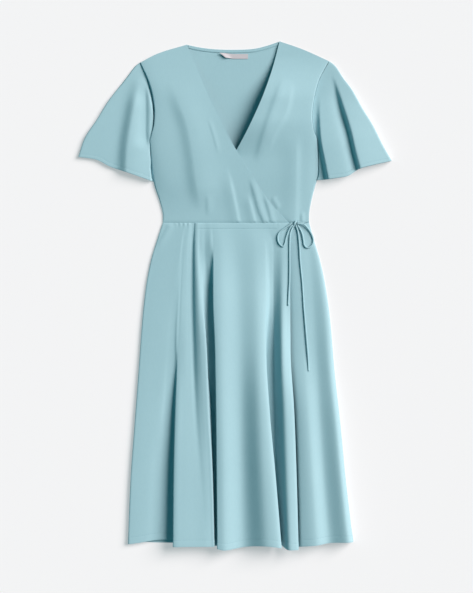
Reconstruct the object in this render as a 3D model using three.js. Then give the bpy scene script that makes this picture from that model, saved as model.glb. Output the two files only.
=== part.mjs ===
// A wrap dress with flutter sleeves, lying flat on its back.
// Millimetres. +X is to the right as seen from above, +Y runs from the hem to the neck, +Z is up from the surface.
// The origin is on the surface, under the middle of the dress. Right and left in names are the wearer's.

import * as THREE from 'three';

// Cloth
const CLOTH = 1.5;          // thickness of a cloth wall
const SEAM_GAP = 0.3;       // space between neighbouring pieces, side by side or one on the other
const LAYER = CLOTH + SEAM_GAP;
const BACK_Z = CLOTH / 2;   // middle of the wall that lies on the surface
const FRONT_Z = BACK_Z + LAYER;

// Heights on the dress
const WAIST_Y = 159.5;
const HEM_Y = -549;
const BODICE_END = WAIST_Y + SEAM_GAP / 2;
const SKIRT_TOP = WAIST_Y - SEAM_GAP / 2;

// Trim
const BINDING = { width: 7, thickness: 1, inset: 0.6, endShare: 0.02, columns: 14 };
const LABEL = { width: 50, depth: 10.5, thickness: 1, x: 3, y: 525 };

// Tie
const TIE_RADIUS = 1.6;
const TIE_SIDES = 8;
const TIE_STEP = 9;         // length of one straight stretch of a tie
const KNOT = { x: 131.5, y: 159.5, z: 7.9, width: 10, length: 11, height: 6.6, slices: 10, rings: 7 };

// How finely each piece is divided
const SKIRT_ROWS = 13;
const SKIRT_BACK = { rows: 10, columns: 12 };
const STEPS_PER_LINE = 2;   // points of a skirt section from one of its lines to the next
const SIDE_ROWS = 6;
const ARMHOLE_ROWS = 10;
const BODICE_COLUMNS = { right: 18, left: 16, back: 16 };
const SLEEVE_ROWS = 9;
const SLEEVE_FRONT = [0.012, 0.05, 0.1, 0.2, 0.25, 0.3, 0.35, 0.4, 0.45, 0.5, 0.55, 0.6, 0.7, 0.8, 0.9, 0.95, 0.988];
const SLEEVE_BACK = [0.988, 0.8, 0.6, 0.4, 0.2, 0.012];
const MITRE_LIMIT = 0.5;    // a corner of a wall reaches at most this far over its thickness, as a cosine

const TEAL = 0x9ec3cc;
const LABEL_PINK = 0xcac1c4;

// Side outline of the dress below the waist, one row for each height.
const SKIRT_SIDES = [
  { y: 159.5, right: -158.4, left: 162.8 },
  { y: 126, right: -169.4, left: 171.6 },
  { y: 74, right: -184.8, left: 187 },
  { y: 21, right: -194.7, left: 198 },
  { y: -58, right: -203.5, left: 209 },
  { y: -164, right: -211.2, left: 217.8 },
  { y: -296, right: -221.1, left: 232.1 },
  { y: -402, right: -228.8, left: 242 },
  { y: -507, right: -233.2, left: 254.1 },
  { y: -549, right: -234.5, left: 259.6 },
];

// Lines that run down the front skirt, crests, valleys and the edges of its folds.
// x and z are given at five heights: waist, hip, thigh, knee and hem. end is how low the hem hangs there.
// A line with an inset in place of x follows the side outline, moved in by that much.
const FOLD_HEIGHTS = [WAIST_Y, 12, -120, -296, HEM_Y];

const OVER_PANEL_LINES = [
  { name: 'side seam', inset: [0, 0, 0, 0, 0], z: [2.6, 2.6, 2.6, 2.6, 2.6], end: -546.7 },
  { name: 'side roll', inset: [7, 6, 6, 6, 7], z: [3.4, 6, 9, 13, 16], end: -546 },
  { name: 'side flat', inset: [18, 22, 24, 26, 28], z: [3.7, 8, 12, 17, 20.5], end: -545 },
  { name: 'crest before A', x: [-128, -154, -161, -169, -174], z: [4.4, 9, 12.5, 16, 19], end: -541 },
  { name: 'wall of A', x: [-121, -137, -143, -146, -149], z: [4.9, 9, 10.2, 9.5, 10], end: -537 },
  { name: 'floor of A', x: [-117, -132, -136, -136.5, -137.5], z: [5.1, 9.2, 9, 5.4, 4.4], end: -537 },
  { name: 'turn of A', x: [-114.5, -129.5, -132, -131, -130.5], z: [5.1, 9.6, 9.6, 6.4, 5.8], end: -540 },
  { name: 'back of A', x: [-111.5, -126.5, -129.5, -129.5, -129.5], z: [5.2, 10.2, 11.6, 10.5, 10.5], end: -545 },
  { name: 'edge of A', x: [-109, -124, -128.5, -132, -135], z: [5.3, 10.6, 13.8, 15.2, 16.5], end: -551 },
  { name: 'crest after A', x: [-103, -115, -117, -118, -118.5], z: [5.4, 11.4, 17, 21.5, 24.5], end: -551 },
  { name: 'crest before B', x: [-97, -100, -98, -94, -88], z: [5.7, 12, 17.5, 22.5, 25.5], end: -551 },
  { name: 'valley of B', x: [-89, -91, -88, -80, -67], z: [4.5, 6.6, 12, 19, 24.5], end: -551 },
  { name: 'crest after B', x: [-81, -81, -77, -64, -54], z: [5.8, 11.5, 16.5, 20.5, 21.5], end: -551 },
  { name: 'wall of C', x: [-70, -66, -57, -49, -43.5], z: [5.5, 9.4, 9.5, 11, 12], end: -550 },
  { name: 'floor of C', x: [-64, -58, -47, -43, -39], z: [5.5, 6.2, 4.9, 4.8, 4.8], end: -550 },
  { name: 'turn of C', x: [-60, -54.5, -42, -37, -33], z: [5.5, 6.4, 5.8, 5.9, 6], end: -551 },
  { name: 'back of C', x: [-56, -51.5, -40.5, -36.5, -32], z: [5.5, 8, 9.8, 11, 11.5], end: -554 },
  { name: 'edge of C', x: [-52, -48.5, -43, -42, -38.5], z: [5.5, 10, 14, 17.5, 19], end: -555.5 },
  { name: 'crest of the middle', x: [-40, -31, -25, -22, -20], z: [5.5, 13, 19, 25, 29], end: -558.8 },
  { name: 'dip of the middle', x: [-6, 7, 11, 15, 18], z: [5.5, 10.5, 14, 17.5, 19.5], end: -551.5 },
  { name: 'crest of D', x: [33, 50, 57, 63, 73], z: [5.5, 12.5, 18, 24.5, 28.5], end: -549.5 },
  { name: 'edge of E', x: [51, 68, 73, 82, 102], z: [5.5, 10.2, 13.8, 17, 19], end: -553.3 },
  { name: 'back of E', x: [56, 74, 77, 80, 96], z: [5.5, 8.8, 10, 11, 11.5], end: -551 },
  { name: 'turn of E', x: [61, 80, 81, 82, 96.5], z: [5.5, 7.4, 6.2, 6, 6], end: -550 },
  { name: 'floor of E', x: [67, 87, 88, 88, 102], z: [5.5, 6.4, 4.8, 4.8, 4.8], end: -548 },
  { name: 'wall of E', x: [79, 99, 101, 101, 108.5], z: [5.5, 9.5, 10.5, 11, 11], end: -552 },
  { name: 'crest by the wrap edge', x: [99, 110, 113.5, 118, 123], z: [5.5, 11.2, 15.5, 20, 23], end: -557.7 },
  { name: 'wrap edge', x: [119, 120, 122, 132, 139.7], z: [5.2, 10, 13.5, 17.5, 20.5], end: -557 },
];

const UNDER_PANEL_LINES = [
  { name: 'inner edge', x: [-99, -105, -110, -118, -124], z: [2.6, 2.6, 2.6, 2.6, 2.6], end: -543 },
  { name: 'hidden middle', x: [-10, -5, 0, 5, 8], z: [2.6, 2.6, 2.6, 2.6, 2.6], end: -543 },
  { name: 'start of the rise', x: [86, 96, 99, 106, 113], z: [2.6, 2.6, 2.6, 2.6, 2.8], end: -545 },
  { name: 'below the wrap edge', x: [118, 121, 124, 133, 140], z: [3.1, 6.6, 9.6, 12.8, 15], end: -551 },
  { name: 'crest', x: [138, 157, 163, 173, 190], z: [3.7, 10, 15, 19.5, 22.5], end: -548 },
  { name: 'valley of G', x: [148, 172, 180, 195, 214], z: [3.7, 8, 11, 13, 14], end: -541.5 },
  { name: 'rim', inset: [6, 12, 17, 17, 18], z: [3.5, 8.6, 13, 16.5, 18.5], end: -541.5 },
  { name: 'side roll', inset: [3, 4, 5, 5, 6], z: [3, 5.5, 8, 10, 11], end: -541 },
  { name: 'side seam', inset: [0, 0, 0, 0, 0], z: [2.6, 2.6, 2.6, 2.6, 2.6], end: -540 },
];

// The hem of the back skirt, a shallow wave just above the front hem.
const BACK_HEM = { y: -541, wave: 3, length: 70 };

// How high the fronts stand over the back at each height, along the middle of the bodice, and its half width there.
const CHEST = [
  { y: 159, rise: 1.2, halfWidth: 160 },
  { y: 200, rise: 3.5, halfWidth: 168 },
  { y: 270, rise: 7, halfWidth: 180 },
  { y: 350, rise: 9, halfWidth: 190 },
  { y: 430, rise: 9, halfWidth: 190 },
  { y: 500, rise: 5, halfWidth: 190 },
  { y: 560, rise: 1.5, halfWidth: 190 },
];

// Soft ridges and valleys of the right front, from the bust to the waist seam: a line, its width and its height.
const BODICE_FOLDS = [
  { from: [-113, 400], to: [-72, 165], width: 13, height: -2 },
  { from: [-18, 290], to: [9, 160], width: 6, height: 1.6 },
  { from: [31, 225], to: [46, 160], width: 5, height: 1.6 },
];

// How far before the hidden edge of the left front the right front starts and ends its climb onto it.
const CLIMB = { from: 36, to: 18 };

// Outlines of the bodice and sleeves, as points on smooth curves.
const RIGHT_SIDE = [[-158.4, BODICE_END], [-158.4, 179], [-165, 206], [-177, 243], [-182.6, 276], [-186, 309], [-189, 341]];
const LEFT_SIDE = [[162.8, BODICE_END], [162.8, 179], [167.2, 206], [176, 241], [182, 262], [183, 290], [181.5, 341]];
const RIGHT_ARMHOLE = [[-189, 341], [-179, 375], [-178, 412], [-188, 463], [-209, 511.5]];
const LEFT_ARMHOLE = [[181.5, 341], [172.5, 368], [171, 410], [184, 470], [206.8, 515]];
const RIGHT_SHOULDER = [[-209, 511.5], [-169, 532], [-105.6, 551.5]];
const LEFT_SHOULDER = [[206.8, 515], [149, 541], [98, 558.8]];
const BACK_NECK = [[-105.6, 551.5], [-77, 545.5], [-42, 541.5], [7, 540.5], [44, 543], [72.6, 550], [98, 558.8]];
const OVER_NECK = [[118.5, BODICE_END], [77, 204], [44, 254], [2.2, 321], [-35, 390], [-66, 456], [-105.6, 551.5]];
const UNDER_NECK = [[-99, BODICE_END], [-50, 245], [4.4, 322], [54, 421], [81.4, 496], [98, 558.8]];

// The outer edge of a sleeve starts at the shoulder and its inner edge at the underarm, next to the armhole.
const RIGHT_SLEEVE = {
  armhole: [...RIGHT_ARMHOLE].reverse(),
  outward: -1,
  outer: [[-218, 505], [-242, 474], [-279.4, 426], [-304, 386], [-330, 346.5], [-344.3, 304.7]],
  hem: [[-344.3, 304.7], [-303.6, 298], [-277, 284], [-245, 273], [-222, 265], [-180.5, 250]],
  inner: [[-190.6, 309], [-187.5, 280], [-180.5, 250]],
  fold: { top: 0.1, hem: 0.57, width: 0.1, depth: 0.72 },
  crease: { at: 0.15, width: 0.09, depth: 0.7 },
};
const LEFT_SLEEVE = {
  armhole: [...LEFT_ARMHOLE].reverse(),
  outward: 1,
  outer: [[220, 505], [237.6, 478.5], [257.4, 452], [279.4, 412.5], [303.6, 373], [323.4, 333], [344.3, 296]],
  hem: [[344.3, 296], [297, 285], [272.8, 278], [248.6, 263], [224.4, 258.5], [199, 255]],
  inner: [[187.5, 325], [190.5, 305], [193.6, 280], [199, 255]],
  fold: { top: 0.1, hem: 0.52, width: 0.1, depth: 0.8 },
  crease: { at: 0.15, width: 0.09, depth: 0.8 },
};
const SLEEVE_LIFT = { armhole: 0.6, hem: 9 };
const SLEEVE_EDGE = 0.16;   // share of the width over which the front layer rises at either edge
const SLEEVE_GAP = SEAM_GAP + 0.1;

// The runs of the tie, as points that it passes through on its way over the cloth.
const SIDE_TIE = [[136.8, 161, 6.8], [143, 160.6, 6.5], [150, 160.2, 6.6], [156, 162, 5.9], [162.5, 163.6, 5.6]];
const RIGHT_LOOP = [
  [125.7, 160, 8.9], [120.5, 155.5, 9.2], [112, 149.6, 9], [103, 143.5, 9.1], [96, 136, 9.4], [93.8, 127, 9.6],
  [95.8, 117, 10], [101, 110, 10.4], [106, 107.8, 10.4], [109.4, 114, 10.1], [112.5, 127, 9.6], [117, 140, 9.5],
  [122, 150, 9.6], [126.8, 155.1, 9.4],
];
const LEFT_LOOP = [
  [136.9, 157.8, 9.4], [144, 157.6, 9.7], [151.8, 156, 9], [160.5, 147, 7.5], [168, 135.5, 7.1], [172, 123, 7],
  [170.5, 112.5, 7.8], [164, 106.3, 8.5], [157, 105.6, 8.6], [152.2, 111, 8.6], [150.4, 122, 8.1], [147.5, 136, 7.6],
  [142.5, 147.5, 7.4], [137.8, 154.2, 8.2],
];
const RIGHT_TAIL = [
  [129.9, 153.8, 6.8], [126.5, 148.8, 6.8], [122.8, 140, 7.6], [120.8, 129, 9.3], [120, 115, 9.7], [119.8, 95, 10.3],
  [120, 60, 11.5], [119.5, 30, 12.6], [118, 5, 13.7], [116.5, -22, 14.9],
];
const LEFT_TAIL = [
  [133.4, 153.9, 7], [136.6, 146.5, 7.2], [138.8, 138, 7.6], [140.3, 125, 8.1], [141.8, 105, 8.9], [143, 80, 9.8],
  [145.3, 55, 10.9], [147.5, 33, 11.8], [149.2, 8, 12.8], [151, -22, 14], [153.6, -54, 15.3], [157.3, -98, 17],
  [160.6, -142, 18.4], [161.5, -166, 19.2],
];

const dress = new THREE.Group();

function add(name, geometry, colour = TEAL, roughness = 0.85) {
  const material = new THREE.MeshStandardMaterial({ color: colour, roughness, metalness: 0 });
  const mesh = new THREE.Mesh(geometry, material);
  mesh.name = name;
  dress.add(mesh);
}

function smoothStep(from, to, x) {
  const t = Math.min(1, Math.max(0, (x - from) / (to - from)));
  return t * t * (3 - 2 * t);
}

// A smooth curve through flat points, measured by its length from 0 to 1.
function outline(points) {
  const curve = new THREE.CatmullRomCurve3(points.map(([x, y]) => new THREE.Vector3(x, y, 0)), false, 'centripetal');
  return (t) => curve.getPointAt(t);
}

// A value that changes smoothly from one height to the next and never swings past either.
function valueAt(heights, values, y) {
  const last = heights.length - 1;
  const falling = heights[0] > heights[last] ? -1 : 1;
  let k = 0;
  while (k < last - 1 && (y - heights[k + 1]) * falling > 0) k += 1;
  const slope = (i) => (values[i + 1] - values[i]) / (heights[i + 1] - heights[i]);
  const tangent = (i) => {
    if (i === 0) return slope(0);
    if (i === last) return slope(last - 1);
    const [a, b] = [slope(i - 1), slope(i)];
    return a * b <= 0 ? 0 : (2 * a * b) / (a + b);
  };
  const step = heights[k + 1] - heights[k];
  const t = Math.min(1, Math.max(0, (y - heights[k]) / step));
  const [t2, t3] = [t * t, t * t * t];
  return (2 * t3 - 3 * t2 + 1) * values[k] + (t3 - 2 * t2 + t) * step * tangent(k)
    + (3 * t2 - 2 * t3) * values[k + 1] + (t3 - t2) * step * tangent(k + 1);
}

function columnAt(table, column, y) {
  return valueAt(table.map((row) => row.y), table.map((row) => row[column]), y);
}

// A closed wall between two grids of points. With round, each row joins up with itself.
function wall(faceA, faceB, round = false) {
  const rows = faceA.length;
  const columns = faceA[0].length;
  const positions = [...faceA.flat(), ...faceB.flat()].flatMap((p) => [p.x, p.y, p.z]);
  const index = [];
  const at = (face, i, j) => (face * rows + i) * columns + (j % columns);
  const quad = (a, b, c, d) => index.push(a, b, c, a, c, d);
  const across = round ? columns : columns - 1;
  for (let i = 0; i < rows - 1; i += 1) {
    for (let j = 0; j < across; j += 1) {
      quad(at(0, i, j), at(0, i, j + 1), at(0, i + 1, j + 1), at(0, i + 1, j));
      quad(at(1, i, j), at(1, i + 1, j), at(1, i + 1, j + 1), at(1, i, j + 1));
    }
  }
  for (let j = 0; j < across; j += 1) {
    quad(at(0, 0, j), at(1, 0, j), at(1, 0, j + 1), at(0, 0, j + 1));
    quad(at(0, rows - 1, j), at(0, rows - 1, j + 1), at(1, rows - 1, j + 1), at(1, rows - 1, j));
  }
  if (!round) {
    for (let i = 0; i < rows - 1; i += 1) {
      quad(at(0, i, 0), at(0, i + 1, 0), at(1, i + 1, 0), at(1, i, 0));
      quad(at(0, i, columns - 1), at(1, i, columns - 1), at(1, i + 1, columns - 1), at(0, i + 1, columns - 1));
    }
  }
  const geometry = new THREE.BufferGeometry();
  geometry.setAttribute('position', new THREE.Float32BufferAttribute(positions, 3));
  geometry.setIndex(volume(positions, index) < 0 ? turned(index) : index);
  geometry.computeVertexNormals();
  return geometry;
}

function volume(positions, index) {
  let total = 0;
  const corner = (i) => new THREE.Vector3().fromArray(positions, 3 * index[i]);
  for (let i = 0; i < index.length; i += 3) {
    total += corner(i).dot(corner(i + 1).cross(corner(i + 2))) / 6;
  }
  return total;
}

function turned(index) {
  const other = [];
  for (let i = 0; i < index.length; i += 3) other.push(index[i], index[i + 2], index[i + 1]);
  return other;
}

// A wall whose rows of middle points are moved out and in by half its thickness, an even wall also where it turns.
// It keeps to the line of each row seen from above, so that seams stay where they are.
// The way across runs from a row's first point to the one numbered far, also where the cloth doubles back.
function clothFromRows(rows, far, round = false) {
  const moved = (side) => rows.map((row) => {
    const across = new THREE.Vector3().subVectors(row[far], row[0]).setZ(0);
    const count = row.length;
    const runOf = (step) => Math.hypot(step.x, step.y) * Math.sign(step.dot(across));
    const normalOf = (step) => new THREE.Vector2(-step.z, runOf(step)).normalize();
    return row.map((p, j) => {
      const before = round || j > 0 ? row[(j + count - 1) % count] : null;
      const after = round || j < count - 1 ? row[(j + 1) % count] : null;
      const stepIn = new THREE.Vector3().subVectors(p, before ?? p);
      const stepOut = new THREE.Vector3().subVectors(after ?? p, p);
      const first = normalOf(before ? stepIn : stepOut);
      const normal = first.clone().add(normalOf(after ? stepOut : stepIn)).normalize();
      const reach = (side * CLOTH) / 2 / Math.max(MITRE_LIMIT, normal.dot(first));
      const along = stepIn.add(stepOut).setZ(0);
      const way = along.lengthSq() > 1e-6 ? along.divideScalar(runOf(along)) : across.clone().normalize();
      return p.clone().addScaledVector(way, normal.x * reach).setZ(p.z + normal.y * reach);
    });
  });
  return wall(moved(1), moved(-1), round);
}

// A wall of even thickness measured straight up, for pieces that lie nearly level.
function levelCloth(rows, thickness = CLOTH) {
  const moved = (side) => rows.map((row) => row.map((p) => p.clone().setZ(p.z + (side * thickness) / 2)));
  return wall(moved(1), moved(-1));
}

// A four-sided patch between its bottom, top, first and last edges.
function patch(bottom, top, first, last) {
  const corner = [bottom(0), bottom(1), top(0), top(1)];
  return (s, t) => {
    const p = bottom(s).multiplyScalar(1 - t).addScaledVector(top(s), t);
    p.addScaledVector(first(t), 1 - s).addScaledVector(last(t), s);
    p.addScaledVector(corner[0], -(1 - s) * (1 - t)).addScaledVector(corner[1], -s * (1 - t));
    return p.addScaledVector(corner[2], -(1 - s) * t).addScaledVector(corner[3], -s * t);
  };
}

// Several smooth outlines end to end, each taking its own share of the way from 0 to 1.
function joined(parts) {
  const curves = parts.map(({ points, until }) => ({ curve: outline(points), until }));
  return (t) => {
    const k = curves.findIndex(({ until }) => t <= until + 1e-9);
    const start = k > 0 ? curves[k - 1].until : 0;
    return curves[k].curve(Math.min(1, (t - start) / (curves[k].until - start)));
  };
}

// The same curve as straight stretches, so that both sides of a seam turn at the same points.
function inStretches(curve, count) {
  return (t) => {
    const k = Math.min(count - 1, Math.floor(t * count + 1e-9));
    return curve(k / count).lerp(curve((k + 1) / count), t * count - k);
  };
}

function straight([ax, ay], [bx, by]) {
  return (t) => new THREE.Vector3(ax + (bx - ax) * t, ay + (by - ay) * t, 0);
}

function reversed(curve) {
  return (t) => curve(1 - t);
}

function steps(count) {
  return Array.from({ length: count + 1 }, (_, k) => k / count);
}

// Skirt

function sideX(side, y) {
  return columnAt(SKIRT_SIDES, side, Math.max(y, HEM_Y));
}

// The lowest that the middle of a front panel may lie: on the back, or on the under panel where that is below it.
function restsAt(x, y, isOver) {
  const [inner] = UNDER_PANEL_LINES;
  const doubled = isOver && x > valueAt(FOLD_HEIGHTS, inner.x, y) - 2 * LAYER;
  return doubled ? FRONT_Z + LAYER : FRONT_Z;
}

// The middle points of a front skirt panel, row by row from the waist to the hem.
function panelRows(lines, insetSide) {
  const inward = insetSide === 'right' ? 1 : -1;
  return steps(SKIRT_ROWS).map((v) => {
    const level = SKIRT_TOP + (HEM_Y - SKIRT_TOP) * v;
    const points = lines.map((line) => {
      const x = line.x ? valueAt(FOLD_HEIGHTS, line.x, level)
        : sideX(insetSide, level) + inward * valueAt(FOLD_HEIGHTS, line.inset, level);
      return new THREE.Vector3(x, SKIRT_TOP + (line.end - SKIRT_TOP) * v, valueAt(FOLD_HEIGHTS, line.z, level));
    });
    const section = new THREE.CatmullRomCurve3(points, false, 'centripetal');
    return steps((points.length - 1) * STEPS_PER_LINE).map((t) => {
      const p = section.getPoint(t);
      return p.setZ(Math.max(p.z, restsAt(p.x, level, insetSide === 'right')));
    });
  });
}

function makeSkirt() {
  const over = panelRows(OVER_PANEL_LINES, 'right');
  const under = panelRows(UNDER_PANEL_LINES, 'left');
  add('skirt_front_right', clothFromRows(over, over[0].length - 1));
  add('skirt_front_left', clothFromRows(under, under[0].length - 1));

  const backEnd = (x) => BACK_HEM.y + BACK_HEM.wave * Math.sin(x / BACK_HEM.length);
  const back = steps(SKIRT_BACK.rows).map((v) => steps(SKIRT_BACK.columns).map((s) => {
    const level = SKIRT_TOP + (HEM_Y - SKIRT_TOP) * v;
    const x = sideX('right', level) * (1 - s) + sideX('left', level) * s;
    return new THREE.Vector3(x, SKIRT_TOP + (backEnd(x) - SKIRT_TOP) * v, BACK_Z);
  }));
  add('skirt_back', levelCloth(back));
}

// Bodice

function chestRise(x, y) {
  const q = Math.min(1, Math.abs(x) / columnAt(CHEST, 'halfWidth', y));
  return columnAt(CHEST, 'rise', y) * (1 - q ** 4);
}

function foldRise(x, y) {
  return BODICE_FOLDS.reduce((total, fold) => {
    const [[ax, ay], [bx, by]] = [fold.from, fold.to];
    const t = (y - ay) / (by - ay);
    const off = (x - (ax + (bx - ax) * t)) / fold.width;
    return total + fold.height * Math.exp(-off * off) * smoothStep(0, 0.5, t) * smoothStep(1.15, 0.95, t);
  }, 0);
}

// Where the hidden edge of the under front runs, as x at a height.
function underEdgeX(y) {
  return valueAt(UNDER_NECK.map(([, height]) => height), UNDER_NECK.map(([x]) => x), y);
}

// The over front climbs onto the under front just before its hidden edge, and has no valley pressed into it.
function overHeight(x, y) {
  const onUnder = smoothStep(-CLIMB.from, -CLIMB.to, x - underEdgeX(y));
  const fold = foldRise(x, y);
  return FRONT_Z + chestRise(x, y) + (LAYER + SEAM_GAP) * onUnder + (fold < 0 ? fold * (1 - onUnder) : fold);
}

function underHeight(x, y) {
  return FRONT_Z + chestRise(x, y);
}

function bodicePanel(shape, columns, height) {
  const rows = [...steps(SIDE_ROWS).map((t) => t / 2), ...steps(ARMHOLE_ROWS).slice(1).map((t) => (1 + t) / 2)];
  return levelCloth(rows.map((t) => steps(columns).map((s) => {
    const p = shape(s, t);
    return p.setZ(height(p.x, p.y));
  })));
}

function sideAndArmhole(side, armhole) {
  return joined([{ points: side, until: 0.5 }, { points: armhole, until: 1 }]);
}

function makeBodice() {
  const right = sideAndArmhole(RIGHT_SIDE, RIGHT_ARMHOLE);
  const left = sideAndArmhole(LEFT_SIDE, LEFT_ARMHOLE);
  const over = patch(
    straight(RIGHT_SIDE[0], OVER_NECK[0]), outline(RIGHT_SHOULDER), right, outline(OVER_NECK),
  );
  const under = patch(
    straight(UNDER_NECK[0], LEFT_SIDE[0]), reversed(outline(LEFT_SHOULDER)), outline(UNDER_NECK), left,
  );
  const backTop = joined([
    { points: RIGHT_SHOULDER, until: 0.25 },
    { points: BACK_NECK, until: 0.75 },
    { points: [...LEFT_SHOULDER].reverse(), until: 1 },
  ]);
  const back = patch(straight(RIGHT_SIDE[0], LEFT_SIDE[0]), backTop, right, left);
  add('bodice_front_right', bodicePanel(over, BODICE_COLUMNS.right, overHeight));
  add('bodice_front_left', bodicePanel(under, BODICE_COLUMNS.left, underHeight));
  add('bodice_back', bodicePanel(back, BODICE_COLUMNS.back, () => BACK_Z));
}

function makeNeckTrim() {
  const neck = outline(BACK_NECK);
  const z = CLOTH + SEAM_GAP + BINDING.thickness / 2;
  const rows = [BINDING.inset, BINDING.width].map((inset) => steps(BINDING.columns).map((s) => {
    const t = BINDING.endShare + (1 - 2 * BINDING.endShare) * s;
    const p = neck(t);
    const along = neck(Math.min(1, t + 0.01)).sub(neck(Math.max(0, t - 0.01))).normalize();
    return new THREE.Vector3(p.x + along.y * inset, p.y - along.x * inset, z);
  }));
  add('neck_binding_back', levelCloth(rows, BINDING.thickness));

  const label = new THREE.BoxGeometry(LABEL.width, LABEL.depth, LABEL.thickness);
  label.translate(LABEL.x, LABEL.y, CLOTH + SEAM_GAP + LABEL.thickness / 2);
  add('neck_label', label, LABEL_PINK, 0.7);
}

// Sleeves

// Height of the front layer of a sleeve over its back layer, at s across from the outer edge and t down to the hem.
function sleeveRise({ fold, crease }, s, t) {
  const bell = (x, width) => Math.exp(-((x / width) ** 2));
  const lift = SLEEVE_LIFT.armhole + (SLEEVE_LIFT.hem - SLEEVE_LIFT.armhole) * Math.sin((t * Math.PI) / 2);
  const foldAt = fold.top + (fold.hem - fold.top) * t;
  const foldDepth = fold.depth * bell(s - foldAt, fold.width) * smoothStep(0, 0.3, t);
  const creaseDepth = crease.depth * bell(t - crease.at, crease.width) * smoothStep(0.25, 0.5, s);
  const edges = smoothStep(0, SLEEVE_EDGE, s) * smoothStep(1, 1 - SLEEVE_EDGE, s);
  return LAYER + lift * edges * (1 - Math.max(foldDepth, creaseDepth));
}

// A flattened tube, open at the armhole and at the hem. Each row goes across the front and comes back behind.
function makeSleeve(name, sleeve) {
  const armhole = inStretches(outline(sleeve.armhole), ARMHOLE_ROWS);
  const start = (s) => armhole(s).add(new THREE.Vector3(sleeve.outward * SLEEVE_GAP, 0, 0));
  const { x: topX, y: topY } = start(0);
  const { x: underX, y: underY } = start(1);
  const outer = outline([[topX, topY], ...sleeve.outer]);
  const inner = outline([[underX, underY], ...sleeve.inner]);
  const shape = patch(start, outline(sleeve.hem), outer, inner);
  const rows = steps(SLEEVE_ROWS).map((t) => [
    shape(0, t).setZ(BACK_Z + LAYER / 2),
    ...SLEEVE_FRONT.map((s) => shape(s, t).setZ(BACK_Z + sleeveRise(sleeve, s, t))),
    shape(1, t).setZ(BACK_Z + LAYER / 2),
    ...SLEEVE_BACK.map((s) => shape(s, t).setZ(BACK_Z)),
  ]);
  add(name, clothFromRows(rows, SLEEVE_FRONT.length + 1, true));
}

// Tie and bow

function tube(points) {
  const path = new THREE.CatmullRomCurve3(points.map((p) => new THREE.Vector3(...p)), false, 'centripetal');
  const section = new THREE.Shape(steps(TIE_SIDES - 1).map((_, k) => {
    const angle = (2 * Math.PI * k) / TIE_SIDES;
    return new THREE.Vector2(TIE_RADIUS * Math.cos(angle), TIE_RADIUS * Math.sin(angle));
  }));
  const count = Math.round(path.getLength() / TIE_STEP);
  return new THREE.ExtrudeGeometry(section, { steps: count, extrudePath: path, bevelEnabled: false, curveSegments: 1 });
}

function makeBow() {
  const knot = new THREE.SphereGeometry(0.5, KNOT.slices, KNOT.rings);
  knot.scale(KNOT.width, KNOT.length, KNOT.height);
  knot.translate(KNOT.x, KNOT.y, KNOT.z);
  add('bow_knot', knot);
  add('tie_side', tube(SIDE_TIE));
  add('bow_loop_right', tube(RIGHT_LOOP));
  add('bow_loop_left', tube(LEFT_LOOP));
  add('tie_tail_right', tube(RIGHT_TAIL));
  add('tie_tail_left', tube(LEFT_TAIL));
}

makeSkirt();
makeBodice();
makeNeckTrim();
makeSleeve('sleeve_right', RIGHT_SLEEVE);
makeSleeve('sleeve_left', LEFT_SLEEVE);
makeBow();

export default dress;
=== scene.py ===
# A wrap dress with flutter sleeves, lying on its back on a pale floor and seen from straight above.
# Tables are in millimetres, as a maker measures; every mesh is in metres. +X is to the right, +Y runs
# from the hem to the neck and +Z is up. Right and left in names are the wearer's.

import math

import bpy
import numpy as np
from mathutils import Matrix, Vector


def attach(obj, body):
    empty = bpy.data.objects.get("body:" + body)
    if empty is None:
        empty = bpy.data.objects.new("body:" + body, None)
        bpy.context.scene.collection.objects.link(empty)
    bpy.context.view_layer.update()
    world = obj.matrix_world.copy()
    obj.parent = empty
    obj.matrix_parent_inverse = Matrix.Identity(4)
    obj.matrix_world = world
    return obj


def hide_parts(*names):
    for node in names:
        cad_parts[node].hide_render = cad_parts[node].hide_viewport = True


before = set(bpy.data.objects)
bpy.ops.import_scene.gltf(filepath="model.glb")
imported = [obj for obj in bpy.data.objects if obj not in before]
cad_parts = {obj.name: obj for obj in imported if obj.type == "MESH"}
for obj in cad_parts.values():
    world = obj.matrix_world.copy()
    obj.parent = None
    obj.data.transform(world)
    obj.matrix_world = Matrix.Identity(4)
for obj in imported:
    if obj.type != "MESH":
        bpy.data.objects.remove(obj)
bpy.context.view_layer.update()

MM = 0.001

# Cloth
WALL = 1.1                  # thickness of the cloth with its seam allowances pressed flat
HEM_WALL = 1.7              # where the hem is turned up
LAYER = 1.8                 # from one lying layer to the next, as in the part
BACK_Z = 0.62               # middle of the layer on the floor
FRONT_Z = 2.55              # middle of a front layer where it lies down
EDGE_Z = 1.85               # middle of a front layer at a side seam, down on the back
SEAM_GAP = 0.3
SLEEVE_GAP = SEAM_GAP + 0.1

# Heights on the dress
WAIST_Y = 159.5
HEM_Y = -549
BODICE_END = WAIST_Y + 0.1
SKIRT_TOP = WAIST_Y - 0.1
HEM_DEPTH = 15              # from the hem edge to its row of stitches
SLEEVE_HEM_DEPTH = 8

# Photograph and camera
PHOTO_WIDTH = 473
PHOTO_HEIGHT = 593
PHOTO_SCALE = 2.2           # millimetres to a pixel
PHOTO_ORIGIN = (235, 295.5)     # pixel of the point X = 0, Y = 0
CAMERA_HEIGHT = 7.0
SENSOR = 36.0

# Colours, as shares of red, green and blue in linear light
TEAL = (0.388, 0.572, 0.62)
TEAL_DEEP = (0.335, 0.515, 0.565)
LABEL_PINK = (0.60, 0.535, 0.555)
LABEL_PINK_DEEP = tuple(0.93 * share for share in LABEL_PINK)
TEAL_THREAD = (0.2, 0.37, 0.42)
FLOOR_PALE = (0.535, 0.50, 0.50)
FLOOR_GLOW = 0.4            # the floor is lit from below as well, so that its shadows are pale
FLOOR_HALF = 20.0           # metres from its middle to its edge

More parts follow.
